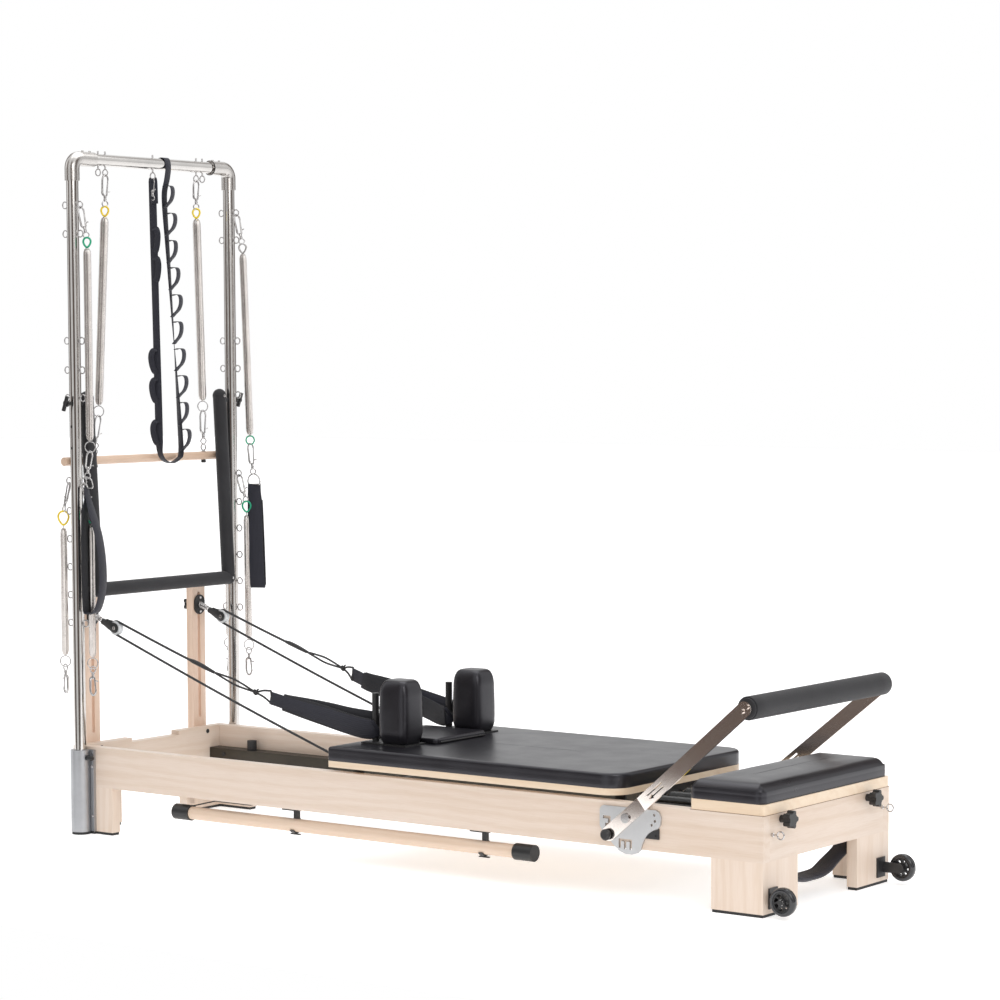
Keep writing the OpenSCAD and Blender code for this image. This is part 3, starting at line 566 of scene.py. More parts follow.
def spread(values, count):
    """Values chosen at even steps along a path, filled in between to count numbers."""
    made = []
    for k in range(count):
        x = k / (count - 1) * (len(values) - 1)
        i = min(int(x), len(values) - 2)
        made.append(values[i] + (values[i + 1] - values[i]) * (x - i))
    return made


def ribbon(path, side, width, thick):
    """A strap along a path; side is its width direction, one vector or one for each point, sizes in mm."""
    count = len(path)
    sides = side if isinstance(side, list) else [side] * count
    widths = width if isinstance(width, list) else [width] * count
    edge = thick / 2
    rings, lengths = [], [0.0]
    for i in range(count):
        tangent = (path[min(i + 1, count - 1)] - path[max(i - 1, 0)]).normalized()
        wide = (sides[i] - tangent * sides[i].dot(tangent)).normalized()
        normal = tangent.cross(wide)
        half = widths[i] / 2
        flat, rim = half - edge, edge * 0.3
        outline = [(-half, -rim), (-flat, -edge), (0, -edge), (flat, -edge), (half, -rim)]
        outline += [(half, rim), (flat, edge), (0, edge), (-flat, edge), (-half, rim)]
        rings.append([path[i] + (wide * x + normal * z) * MM for x, z in outline])
        if i:
            lengths.append(lengths[-1] + (path[i] - path[i - 1]).length / MM)
    return loft(rings, lengths=lengths, width=widths[0] * 2)


def rounded_outline(half_l, half_w, radii, inset):
    """Points of a rectangle with its own radius at each corner, drawn in by inset; sizes in mm."""
    per_side, per_corner = 10, 8
    corners = [(1, -1), (1, 1), (-1, 1), (-1, -1)]
    points = []
    for number, (sx, sy) in enumerate(corners):
        radius = max(radii[number] - inset, 0.8)
        cx, cy = sx * (half_l - inset - radius), sy * (half_w - inset - radius)
        start = -math.pi / 2 + number * math.pi / 2
        for k in range(per_corner + 1):
            t = start + math.pi / 2 * k / per_corner
            points.append((cx + radius * math.cos(t), cy + radius * math.sin(t)))
        following = corners[(number + 1) % 4]
        next_radius = max(radii[(number + 1) % 4] - inset, 0.8)
        nx = following[0] * (half_l - inset - next_radius)
        ny = following[1] * (half_w - inset - next_radius)
        end_t = start + math.pi / 2
        ax, ay = points[-1]
        bx, by = nx + next_radius * math.cos(end_t), ny + next_radius * math.sin(end_t)
        for k in range(1, per_side):
            points.append((ax + (bx - ax) * k / per_side, ay + (by - ay) * k / per_side))
    return points


def upholstery(centre, size, radii, edge, crown, waist, ripple):
    """A covered foam pad on a board: sides that pull in at the foot, a round edge and a crowned top."""
    length, width, height = size
    half_l, half_w = length / 2, width / 2
    floor_in, edge_steps = 1.0, 7
    levels = [(floor_in, 0.0), (waist * 0.4, 2.0), (0.0, height * 0.28)]
    side_top = height - edge
    for k in range(1, 4):
        z = height * 0.28 + (side_top - height * 0.28) * k / 3
        levels.append((waist * 0.25 * math.sin(math.pi * k / 3), z))
    for k in range(1, edge_steps + 1):
        t = math.pi / 2 * k / edge_steps
        levels.append((edge * (1 - math.cos(t)), side_top + edge * math.sin(t)))
    reach = min(half_l, half_w) - 2
    for k in range(1, 15):
        f = k / 14
        levels.append((edge + (reach - edge) * f, height))
    rings = []
    for inset, z in levels:
        ring = []
        for x, y in rounded_outline(half_l, half_w, radii, inset):
            depth = max(0.0, min(half_l - abs(x), half_w - abs(y)) / max(reach, 1))
            crowned = z >= height - edge * 0.4
            lift = crown * (1 - (1 - min(1.0, depth * 1.6)) ** 2.2) if crowned else 0.0
            at_point = centre + Vector((x, y, z)) * MM
            wave = noise.noise(at_point * 13) * ripple * min(1.0, z / height)
            ring.append(at_point + Vector((0, 0, lift - crown + wave)) * MM if z > height * 0.6 else at_point)
        rings.append(ring)
    return loft(rings)


def rod(start, end, radius, sides=16):
    """A straight bar with softened ends."""
    axis = end - start
    length = axis.length / MM
    edge = min(0.6, radius * 0.45, length * 0.45)
    return turned(bevelled(radius, 0.0, length, edge), start, axis, sides)


def disc(size, place, axis, material):
    """A round head, washer, plug or bush and its material; size is what bevelled takes."""
    return turned(bevelled(*size), place, axis), material


# ---------- hooks ----------

def snap_hook(top, bottom, side, scale=1.0):
    """A swivel snap hook from the ring it hangs on to the ring below it."""
    axis = (top - bottom).normalized()
    length = (top - bottom).length / MM
    across = (side - axis * side.dot(axis)).normalized()
    face = axis.cross(across)
    wide = 8.5 * scale

    def spot(x, h):
        return bottom + (across * x + axis * h) * MM

    hook = [(0, 0.34), (-0.9, 0.42), (-1.0, 0.60), (-1.0, 0.86), (-0.6, 0.97), (0, 1.015)]
    hook += [(0.65, 0.96), (0.95, 0.86), (0.85, 0.76)]
    path = smooth_path([spot(x * wide, h * length) for x, h in hook], 6)
    radii = spread([3.6, 3.4, 2.9, 2.7, 2.7, 2.8, 2.8, 2.5, 1.9], len(path))
    arm = tube(path, [r * scale for r in radii], 10)
    gate_low, gate_high = spot(wide * 0.55, length * 0.36), spot(wide * 0.92, length * 0.80)
    gate = tube([gate_low, gate_low.lerp(gate_high, 0.5), gate_high], [2.7, 2.4, 2.0], 10)
    stub = rod(spot(wide * 0.7, length * 0.47), spot(wide * 1.8, length * 0.50), 2.0, 10)
    profile = [(0.01, -4), (3.2, -4), (4.6, -2), (4.6, 4), (3.8, 7), (5.0, 11), (4.2, 16), (0.01, 17)]
    barrel = turned(profile, spot(0, length * 0.22), axis, 16)
    eye = hoop(spot(0, length * 0.22 - 10.5 * scale), 8.5 * scale, 3.8, face, 10, 24, point=axis)
    return joined(arm, gate, stub, barrel, eye)


def spring_set(name, body, route, winding, rings, side, stands_for, tail=(), eye=11.5, neck=5.0):
    """A tower spring: snap hook from the eye bolt, thimble, coil, ring, and a lower hook if it has one.

    The route is the eye bolt, the coil's top and bottom and the lower hook's end; the winding is the
    coil's diameter and wire in mm; the rings are the materials of the thimble and of the ring below."""
    bolt, top, bottom, end = route
    diameter, wire = winding
    sleeve, low_ring = rings
    up = (top - bottom).normalized()
    face = ALONG * 0.45 - ACROSS
    middle = top + up * (neck + eye * 1.5) * MM
    steel = low_ring is STEEL
    ring_r = 16.2 if steel else 13.5
    ring_at = bottom - up * (ring_r + 5) * MM
    parts = [
        (snap_hook(bolt - UP * MM, middle + up * (eye - 3) * MM, side), STEEL),
        (hoop(middle, eye, 6.0, face, 12, 36, stretch=1.5, point=up), sleeve),
        (tube([top, top + up * (neck + 4) * MM], 1.6, 8), SPRING),
        (coil(top + up * 1.5 * MM, bottom - up * 1.5 * MM, diameter, wire), SPRING),
        (tube([bottom, bottom - up * 5 * MM], 1.6, 8), SPRING),
        (hoop(ring_at, ring_r, 3.2 if steel else 4.6, face, 10, 32, point=up), low_ring),
    ]
    if end is not None:
        parts.append((snap_hook(ring_at - up * (ring_r - 2) * MM, end, side), STEEL))
    return piece(name, body, parts + list(tail), stands_for)


# ---------- tower springs ----------

TOWER_S = 49
CROSS_EYE_Z = 1978.5
EYE_OFF = 31
UPRIGHT_Y = 345
SIDE_EYE_Z = 1877.5
LEG_EYE_Z = 1057.5
SIDE_OFF = 58  # how far the side springs hang in front of the tower
SIDE_TOP_Z, SIDE_LOW_Z = 1752, 1187
LEG_LOW_Z, LEG_HOOK_TOP, LEG_HOOK_LOW = 540, 506, 424
ROLL_S, ROLL_Z = 16.5, 1121


def roll_bar_ends():
    """The two eye screws through the roll-down bar, with their caps."""
    parts = []
    for y in (-232, 250):
        parts.append((hoop(at(ROLL_S, y, ROLL_Z + 26), 9.5, 4.0, ACROSS), STEEL))
        parts.append((rod(at(ROLL_S, y, ROLL_Z + 17), at(ROLL_S, y, ROLL_Z - 15), 2.8), STEEL))
        parts.append(disc((6.5, 0, 2, 0.6), at(ROLL_S, y, ROLL_Z + 13), UP, STEEL))
        parts.append(disc((7.5, -9, 0, 2.0), at(ROLL_S, y, ROLL_Z - 13.2), UP, PLASTIC))
    return parts


def make_tower_springs():
    """Two long springs to the roll-down bar, two with hand loops by the uprights, four lower down."""
    lean_to = Vector((0.5, 0.8, 0))
    for name, y_bolt, y_top, y_bottom, y_end, z_top, z_bottom in (
        ("near", -206, -207, -223, -232, 1850, 1290),
        ("far", 195, 199, 238, 250, 1858, 1297),
    ):
        last = name == "far"
        route = [at(TOWER_S, y_bolt, CROSS_EYE_Z), at(45, y_top, z_top), at(26, y_bottom, z_bottom)]
        route.append(at(ROLL_S + 0.5, y_end, ROLL_Z + 32))
        stands_for = ("long_springs",) if last else ()
        tail = roll_bar_ends() if last else ()
        spring = "long_spring_" + name
        spring_set(spring, "roll_down", route, (26, 2.6), (YELLOW, STEEL), lean_to, stands_for, tail)
    for name, m, lean, drop, rings in (
        ("near", -1, 0, 0, (GREEN, STEEL)),
        ("far", 1, 21, 16, (STEEL, GREEN)),
    ):
        y = m * UPRIGHT_Y
        s = TOWER_S + SIDE_OFF + lean
        route = [at(TOWER_S + EYE_OFF, y, SIDE_EYE_Z), at(TOWER_S + SIDE_OFF - 1, y, SIDE_TOP_Z)]
        route += [at(s, y, SIDE_LOW_Z), at(s, y + m * 14, 1074 - drop)]
        tail = [(d_ring(at(s, y + m * 16.5, 1060 - drop)), STEEL)]
        across = Vector((0.8, 0.5, 0))
        spring = "side_spring_" + name
        spring_set(spring, "side_" + name, route, (24, 2.6), rings, across, (spring,), tail)
    for name, m, k, s, lean, z_top, out, ring, eye in (
        ("near_in", -1, 1, 106, 0, 929, 0, GREEN, 13.5),
        ("near_out", -1, -1, -8, 0, 918, 0, YELLOW, 16.5),
        ("far_in", 1, 1, 111, 4, 929, 0, GREEN, 13.5),
        ("far_out", 1, -1, 18, 0, 929, 15, STEEL, 11.5),
    ):
        y = m * (UPRIGHT_Y + out)
        route = [at(TOWER_S + k * EYE_OFF, m * UPRIGHT_Y, LEG_EYE_Z), at(s, y, z_top)]
        s_low = s + lean
        route += [at(s_low, y, LEG_LOW_Z), None]
        hook_from, hook_to = at(s_low, y, LEG_HOOK_LOW), at(s_low, y, LEG_HOOK_TOP)
        tail = [(snap_hook(hook_from, hook_to, Vector((k, 0.2, 0)), 1.15), STEEL)]
        across = Vector((k * 0.9, 0.3, 0))
        spring = "leg_spring_" + name
        spring_set(spring, "leg_" + name, route, (22, 2.5), (ring, STEEL), across, (spring,), tail, eye, 12.0)


def d_ring(centre):
    """The flat-bottomed ring that a hand loop hangs from."""
    corners = [(-21, -16), (0, -16.5), (21, -16), (25, -6), (18, 10), (0, 17), (-18, 10), (-25, -6)]
    points = [centre + Vector((x, 0, z)) * MM for x, z in corners]
    path = smooth_path(points + [points[0]], 5)[:-1]
    return tube(path, 2.2, 10, closed=True)


# ---------- hand loops on the tower ----------

def make_hand_loops():
    """Padded loops: narrow webbing at the ring, a wide sleeve below, doubled back at the bottom."""
    for name, m, lean, drop, low in (("near", -1, 0, 0, 671), ("far", 1, 21, 16, 703)):
        near = name == "near"
        top = at(TOWER_S + SIDE_OFF + lean, m * (UPRIGHT_Y + 18.5), 0)
        wide = Vector((0.25, -0.97, 0)) if near else Vector((0.90, 0.43, 0))
        swell = Vector((0.97, 0.25, 0)) if near else Vector((0.43, -0.90, 0))
        bulge = 44 if near else 4
        slant = ALONG * (0 if near else 13)
        high = 1046 - drop
        tall = high - low
        front = [(0, 1.0), (2, 0.93), (-3, 0.80), (-5, 0.55), (-5, 0.25), (-3, 0.05), (1, 0.0)]
        back = [(6 + bulge * 0.55, 0.02), (8 + bulge * 0.95, 0.18), (8 + bulge, 0.38)]
        back += [(7 + bulge * 0.78, 0.60), (6 + bulge * 0.3, 0.80), (5, 0.93)]
        points = []
        for x, f in front + back + [(0, 1.0)]:
            points.append(top + (swell * x + slant * (1 - f) + UP * (low + tall * f)) * MM)
        path = smooth_path(points, 8)
        narrow, full = (30, 44) if near else (42, 46)
        widths = spread([narrow, narrow] + [full] * 9 + [narrow, narrow], len(path))
        strap = ribbon(path, wide, widths, 2.6)
        sleeve = ribbon([p - swell * 0.8 * MM for p in path[14:44]], wide, full + 3, 4.6)
        parts = [(strap, WEBBING), (sleeve, SLEEVE)]
        piece("hand_loop_strap_" + name, "side_" + name, parts, ("hand_loop_" + name,), 50)


# ---------- ladder strap ----------

def facing(degrees):
    return Vector((math.cos(math.radians(degrees)), math.sin(math.radians(degrees)), 0))


LADDER_LOW, LADDER_TALL = 1150, 832
STRAP_S = 45


def right_strand(z):
    """Where the laddered strand hangs at a height: its place across the tower and the way it faces."""
    turn = 90 + max(0, 1925 - z) * 0.088 + max(0, 1500 - z) * 0.06
    return 118 - 70 * (z - LADDER_LOW) / LADDER_TALL, turn


def left_strand(z):
    """Where the other strand hangs, across the tower."""
    return 2 + 18 * (1966 - z) / 816


def make_ladder_strap():
    """One strap over the crossbar, its right strand laddered with loops, its left hung on a hook."""
    points = [(30.5, 48, 2012, 90), (30, 48, 2022, 90), (34, 48, 2036, 90), (49, 48, 2041.5, 90)]
    points += [(64, 48, 2036, 90), (69, 48, 2010, 90), (62, 49, 1975, 90), (50, 50, 1935, 92)]
    for z in range(1880, 1180, -70):
        y, turn = right_strand(z)
        points.append((STRAP_S, y, z, turn))
    for degrees in (165, 130, 90, 50, 15):
        t = math.radians(degrees)
        points.append((STRAP_S, 69 - 49 * math.cos(t), LADDER_LOW - 46 * math.sin(t), 176))
    for z in range(1175, 1960, 60):
        points.append((STRAP_S, left_strand(z), z, 196 + 4 * math.sin(z / 90)))
    points += [(46, 1, 1966, 196), (49, 0, 1972, 196), (53, 0, 1964, 196), (53, 2, 1900, 196)]
    path = smooth_path([at(s, y, z) for s, y, z, _ in points], 6)
    turns = [facing(a) for a in spread([p[3] for p in points], len(path))]
    parts = [(ribbon(path, turns, 25, 2.0), WEBBING)]
    rungs = [(1.5, 30), (13, 33), (26, 31), (31, 20), (30, 2), (23, -14), (11, -26), (1.5, -36)]
    for i in range(10):
        z0 = LADDER_LOW + (0.93 - i * 0.1) * LADDER_TALL
        y0 = right_strand(z0)[0]
        wide, out = facing(104), facing(14)
        swell = 1 + 0.08 * math.sin(i * 2.1)
        route = [at(STRAP_S, y0, z0) + (out * x * swell + Vector((0, 0, z))) * MM for x, z in rungs]
        parts.append((ribbon(smooth_path(route, 6), wide, 25, 1.6), WEBBING))
    folded = [(1.2, 36), (12, 30), (17, 14), (15, -10), (9, -30), (1.2, -38)]
    for z0, way in ((1790, -1), (1700, -1), (1420, 1), (1330, 1), (1200, 1)):
        wide, out, lean = facing(196), facing(106), facing(196) * way
        base = at(STRAP_S, left_strand(z0), z0)
        route = [base + (lean * x - out * (x * 0.4 + 0.6) + Vector((0, 0, z))) * MM for x, z in folded]
        parts.append((ribbon(smooth_path(route, 6), wide, 20, 1.6), WEBBING))
    parts.append((snap_hook(at(49, 0, 1975), at(49, 0, 1912), ALONG, 0.8), STEEL))
    piece("ladder_strap", "frame", parts, ("loop_strap",), 50)


# ---------- ropes and hand straps ----------

POST_Y = 238
SHEAVE_AT = (102, 617)
SHEAVE_GROOVE = 20.0
HITCH_AT = (981, 286)  # where a rope's lower run is tied to the carriage
ROPE_R, STRAND_R = 3.7, 3.0


def make_ropes():
    """Each rope in three pieces: round the pulley wheel, the run to the carriage, the run to the strap."""
    for name, m, knot_at, loop_at in (
        ("near", -1, (628, 205, 452), ((679, 196, 459), (679, 190, 418))),
        ("far", 1, (632, 190, 488), ((678, 182, 494), (678, 178, 455))),
    ):
        s0, z0 = SHEAVE_AT
        knot = at(knot_at[0], m * knot_at[1], knot_at[2])
        wrap = []
        for k in range(15):
            t = math.radians(70 + 170 * k / 14)
            wrap.append(at(s0 + SHEAVE_GROOVE * math.cos(t), m * POST_Y, z0 + SHEAVE_GROOVE * math.sin(t)))
        end = at(HITCH_AT[0], m * POST_Y, HITCH_AT[1])
        shares = (0.08, 0.2, 0.35, 0.5, 0.65, 0.8, 0.92)
        low = [wrap[-1].lerp(end, f) - UP * 5 * MM * math.sin(math.pi * f) for f in shares]
        adjuster = wrap[0].lerp(knot, 0.52)
        shares = (0.06, 0.25, 0.5, 0.75, 1.0)
        high = [wrap[0].lerp(adjuster, f) - UP * 4 * MM * math.sin(math.pi * f * 0.5) for f in shares]
        piece("rope_wrap_" + name, "frame", [(tube(smooth_path(wrap, 4), ROPE_R, 10), ROPE)])
        low_run = smooth_path([wrap[-1]] + low + [end], 5)
        tail = [(tube(low_run, ROPE_R, 10), ROPE), (hoop(end + ALONG * 6 * MM, 8, 4.5, ACROSS), ROPE)]
        lower_run = piece("rope_tail_" + name, "frame", tail, (), 60)
        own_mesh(lower_run)
        parts = [(tube(smooth_path([wrap[0]] + high, 5), ROPE_R, 10), ROPE)]
        sag = UP * 4 * MM
        adjust_end = adjuster.lerp(knot, 0.38) - sag
        sleeve = smooth_path([high[-1], adjuster.lerp(adjust_end, 0.4) - UP * MM, adjust_end], 6)
        parts.append((tube(sleeve, spread([3.8, 6.2, 6.6, 6.2, 4.6], len(sleeve)), 12), ROPE))
        for lift in (8.0, -7.0):
            middle = adjust_end.lerp(knot, 0.55) + UP * lift * MM
            quarter = adjust_end.lerp(knot, 0.25) + UP * lift * 0.6 * MM
            parts.append((tube(smooth_path([adjust_end, quarter, middle, knot], 6), STRAND_R, 10), ROPE))
        upper, lower = (at(p[0], m * p[1], p[2]) for p in loop_at)
        for corner in (upper, lower):
            bowed = knot.lerp(corner, 0.5) + (corner - knot).cross(ACROSS) * 0.06
            parts.append((tube(smooth_path([knot, bowed, corner], 6), STRAND_R, 10), ROPE))
        between = upper.lerp(lower, 0.5)
        parts.append((tube([upper, between, lower], STRAND_R, 10), ROPE))
        parts += [(shape, ROPE) for shape in knot_shapes(knot, (between - adjuster).normalized())]
        pull = piece("rope_" + name, "frame", parts, ("ropes",) if m < 0 else (), 60)
        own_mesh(pull)


def knot_shapes(centre, along):
    """Turns of rope pulled tight round themselves."""
    side = along.cross(ACROSS).normalized()
    shapes = []
    for k, lean in enumerate((-0.6, 0.5, 0.0)):
        path = []
        for i in range(22):
            t = TAU * i / 22
            spin = (side * math.cos(t) + ACROSS * math.sin(t)) * 5.2 * MM
            path.append(centre + spin + along * (lean * 5 * math.cos(t + k) + (k - 1) * 3) * MM)
        shapes.append(tube(path, 2.7, 8, closed=True))
    shapes.append(tube([centre + side * 4 * MM, centre + side * 13 * MM + along * 6 * MM], 2.4, 8))
    return shapes


PEG_S, PEG_Y, PEG_Z = 1052, 171, 381


def make_hand_straps():
    """The padded foot straps: two layers from a rope's end to the peg on a shoulder block."""
    for name, m, rise in (("near", -1, 0), ("far", 1, 26)):
        y0 = 194 if m < 0 else 180
        start = at(679, m * y0, 438 + rise * 1.4)
        out = Vector((0, m, 0))
        parts = []
        for layer in (1, -1):
            skirt = 4 * layer
            route = [
                start + Vector((-4, 0, 0)) * MM,
                at(700, m * (y0 - 1) + skirt * 0.3, 433 + rise * 1.3),
                at(740, m * (y0 - 3) + skirt * 0.6, 425 + rise * 1.15),
                at(800, m * (PEG_Y + 18) + skirt, 416 + rise * 0.9 + layer * 2),
                at(880, m * (PEG_Y + 15) + skirt * 1.5, 404 + rise * 0.6 + layer * 5),
                at(960, m * (PEG_Y + 13) + skirt * 1.8, 391 + rise * 0.35 + layer * 8),
                at(1020, m * (PEG_Y + 6) + layer * 11, 383 + rise * 0.15 + layer * 10),
                at(PEG_S, m * PEG_Y + layer * 13, PEG_Z + rise * 0.1 + layer * 8),
                at(PEG_S + 12, m * PEG_Y + layer * 6, PEG_Z + 1 + rise * 0.1),
            ]
            path = smooth_path(route, 8)
            leans = spread([0.0, 0.3, 0.6, 0.5, 0.2], len(path))
            sides = [UP.lerp(Vector((0.30, 0, 1)), f).normalized() for f in leans]
            widths = spread([38, 38, 38, 42, 50, 54, 56, 52, 46], len(path))
            parts.append((ribbon(path, sides, widths, 2.2), WEBBING))
            sleeve = [p + out * layer * 1.8 * MM for p in path[13:56]]
            widths = spread([50, 54, 58, 60, 60, 60, 58], len(sleeve))
            parts.append((ribbon(sleeve, sides[13:56], widths, 5.0), SLEEVE))
        stands_for = ("hand_straps",) if m < 0 else ()
        strap = piece("hand_strap_" + name, "carriage", parts, stands_for, 50)
        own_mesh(strap)


# ---------- pulleys ----------

RISER_Z = 650
RISER_FALL = math.radians(18.8)


def make_pulleys():
    """The two risers with their pulleys, and the wheels that turn in them."""
    for name, m in SIDES:
        y = m * POST_Y
        fall = Vector((math.cos(RISER_FALL), 0, -math.sin(RISER_FALL)))
        lift = ACROSS.cross(fall) * -1
        foot = at(6, y, RISER_Z)
        centre = at(SHEAVE_AT[0], y, SHEAVE_AT[1])
        parts = [(oval_plate(at(0.3, y, RISER_Z)), POWDER)]
        for k in (-1, 1):
            parts.append(disc((4.4, 0, 3.2, 1.4), at(6, y, RISER_Z + k * 22), ALONG, STEEL))
        parts += [
            disc((9, 0, 4, 1.2), foot, ALONG, STEEL),
            (coil(foot + fall * 3 * MM, foot + fall * 27 * MM, 18, 2.0, 14, 10, 8, 20, 1.9), STEEL),
            (rod(foot - fall * MM, foot + fall * 33 * MM, 3.2), STEEL),
            (hoop(foot + fall * 33 * MM, 6.5, 3.4, ACROSS), STEEL),
            disc((7.5, -7, 7, 2.0), centre - fall * 54 * MM, fall, POWDER),
        ]
        for k in (-1, 1):
            parts.append((pulley_cheek(centre, fall, lift, k), POWDER))
            parts.append(disc((5.5, 0, 2.4, 1.0), centre + ACROSS * k * 11 * MM, ACROSS * k, STEEL))
        parts.append((rod(centre - ACROSS * 12 * MM, centre + ACROSS * 12 * MM, 3.9), STEEL))
        parts.append((rod(at(-44, y, RISER_Z), at(1, y, RISER_Z), 3.9), STEEL))
        piece("pulley_riser_" + name, "riser_" + name, parts, ("riser_" + name,))
        groove = mirrored([(4.1, -8), (20.9, -8), (21, -7.4), (20.6, -5.2), (17.6, -3.6)], (16.6, 0))
        wheel = turned(groove, centre, ACROSS, 40)
        hub = disc((7.5, -8.6, 8.6, 0.8, 4.1), centre, ACROSS, STEEL)
        sheave = "sheave_" + name
        piece("pulley_wheel_" + name, sheave, [(wheel, SHEAVE), hub], (sheave,))


def oval_plate(back):
    """The oval plate that clamps a riser to its post."""
    rings = []
    for x, inset in ((0, 0.8), (0.8, 0), (4.9, 0), (5.7, 0.8)):
        ring = []
        for k in range(40):
            t = TAU * k / 40
            z = math.sin(t) * (23 - inset) + (8 if math.sin(t) > 0 else -8)
            ring.append(back + Vector((x, math.cos(t) * (23 - inset), z)) * MM)
        rings.append(ring)
    return loft(rings)


def pulley_cheek(centre, fall, lift, side):
    """One cheek plate of a pulley: a long drop shape tapering to the swivel."""
    rings = []
    for off, inset in ((9.0, 0.5), (9.4, 0.0), (10.6, 0.0), (11.0, 0.5)):
        ring = []
        for k in range(13):
            t = -math.pi / 2 + math.pi * k / 12
            ring.append((math.cos(t) * (15 - inset), math.sin(t) * (15 - inset)))
        upper = [(-22, 12.5 - inset), (-40, 8.5 - inset), (-56 + inset, 7 - inset)]
        ring += upper + [(-58 + inset, 0)] + [(x, -z) for x, z in reversed(upper)]
        rings.append([centre + (fall * x + lift * z + ACROSS * side * off) * MM for x, z in ring])
    return loft(rings)


# ---------- upholstery ----------

CAR_S, CAR_L, CAR_W, CAR_TOP, CAR_PAD = 997, 1000, 640, 334, 41
PLATFORM_S, PLATFORM_L = 2226, 224


def cushion(name, body, parts, stands_for):
    """An upholstered piece, shaded smooth up to 60 degrees between faces."""
    piece(name, body, parts, stands_for, 60)


def make_upholstery():
    """Carriage, platform and headrest pads, and the two shoulder blocks."""
    foot = at(CAR_S + CAR_L / 2, 0, CAR_TOP - CAR_PAD)
    pad = upholstery(foot, (CAR_L, CAR_W, CAR_PAD), (62, 62, 6, 6), 9, 0.6, 1.2, 0.4)
    cushion("carriage_cushion", "carriage", [(pad, VINYL)], ("carriage_pad",))
    foot = at(PLATFORM_S + PLATFORM_L / 2 - 6, 0, 292)
    top = upholstery(foot, (PLATFORM_L + 6, 650, 55), (24, 24, 24, 24), 30, 12, 2.0, 1.0)
    cushion("platform_cushion", "frame", [(top, VINYL)], ("platform_pad",))
    flap = upholstery(at(1118, 0, 334.6), (226, 236, 17), (14, 14, 20, 20), 7, 0.8, 0.8, 0.4)
    hinge_rod = rod(at(1232, -100, 338.6), at(1232, 100, 338.6), 3.0)
    cushion("headrest_cushion", "headrest", [(flap, VINYL), (hinge_rod, POWDER)], ("headrest",))
    for name, m in SIDES:
        shape = shoulder_block(at(1144.5, m * 171, 338.2))
        stands_for = ("shoulder_pads",) if m < 0 else ()
        cushion("shoulder_cushion_" + name, "carriage", [(shape, VINYL)], stands_for)


def shoulder_block(foot):
    """An upright covered block: round top, full sides, the cover gathered in at its foot."""
    half_l, half_w, height = 51.5, 48, 182
    cover = 1.4
    rings = []
    count = 64
    levels = [0.0, 0.012, 0.04, 0.08, 0.14, 0.25, 0.38, 0.50, 0.62, 0.70]
    for level in levels:
        pull = 8 * max(0.0, 1 - level / 0.14) ** 1.6
        swell = 1.4 * math.sin(math.pi * min(1.0, level / 0.7))
        grow = swell - pull - cover
        rings.append(block_ring(foot, half_l + grow, half_w + grow, height * level, count, level))
    arc = height * 0.30
    for k in range(1, 13):
        t = math.pi / 2 * k / 12.5
        z = height * 0.70 + arc * math.sin(t) ** 0.92
        long = (half_l - cover) * (0.42 + 0.58 * math.cos(t) ** 0.62)
        wide = (half_w - cover) * (0.30 + 0.70 * math.cos(t) ** 0.50)
        rings.append(block_ring(foot, long, wide, z, count, 1.0))
    return loft(rings)


def block_ring(foot, half_l, half_w, z, count, level):
    """One level of a shoulder block: a rounded rectangle, gathered near the foot and slightly wavy."""
    points = []
    for k in range(count):
        t = TAU * k / count
        power = 2 / 5.2
        x = math.copysign(abs(math.cos(t)) ** power, math.cos(t)) * half_l
        y = math.copysign(abs(math.sin(t)) ** power, math.sin(t)) * half_w
        gather = 0.9 * math.sin(k * TAU * 9 / count) * max(0.0, 1 - level / 0.12)
        out = Vector((x, y, 0)).normalized()
        wave = noise.noise((foot + Vector((x, y, z)) * MM) * 28) * 0.5
        points.append(foot + (Vector((x, y, z)) + out * (gather + wave)) * MM)
    return points


# ---------- footbar, wheels and small parts ----------

PIVOT = at(2033, 0, 224)
BAR_REACH, BAR_RISE = 496, math.radians(39.7)


def make_footbar_grip():
    """The foam roll on the footbar, with a plug at each end."""
    centre = PIVOT + Vector((math.cos(BAR_RISE), 0, math.sin(BAR_RISE))) * BAR_REACH * MM
    half = 347
    end = [(17.1, -half - 6), (25, -half - 6), (27, -half - 5), (27, -half), (29, -half)]
    end += [(30.4, -half + 0.8), (31, -half + 2.5)]
    profile = mirrored(end, *[(31, h) for h in range(-300, 301, 60)])
    parts = [(turned(profile, centre, ACROSS, 56), GRIP_Y)]
    piece("foot_grip", "footbar", parts, ("footbar_pad",), 35)


CASTOR_S, CASTOR_Y, CASTOR_Z = 2501, 311, 46


def make_castors():
    """The two transport wheels, each with tyre, rim, hub, eight webs and a steel bush."""
    for name, m in SIDES:
        centre = at(CASTOR_S, m * CASTOR_Y, CASTOR_Z)
        tyre = mirrored([(25, -8), (27, -11), (31, -11.8), (35, -10), (37.4, -6)], (38, 0)) + [(24.2, 0)]
        rim = mirrored([(22.4, -9), (26, -9.6)])
        hub = mirrored([(8, -10), (11, -10), (12, -7)])
        parts = [(turned(tyre, centre, ACROSS, 56), WHEEL), (turned(rim, centre, ACROSS, 48), PLASTIC)]
        parts.append((turned(hub, centre, ACROSS, 32), PLASTIC))
        for k in range(8):
            parts.append((wheel_spoke(centre, TAU * k / 8), PLASTIC))
        bush = mirrored([(4.2, -11), (7.8, -11), (8, -10.4)])
        collar = mirrored([(4.1, -13.8), (5.6, -13.8), (6.2, -12.5)])
        parts += [(turned(bush, centre, ACROSS, 32), STEEL), (turned(collar, centre, ACROSS, 24), STEEL)]
        piece("castor_wheel_" + name, "castor_" + name, parts, ("castor_" + name,), 40)


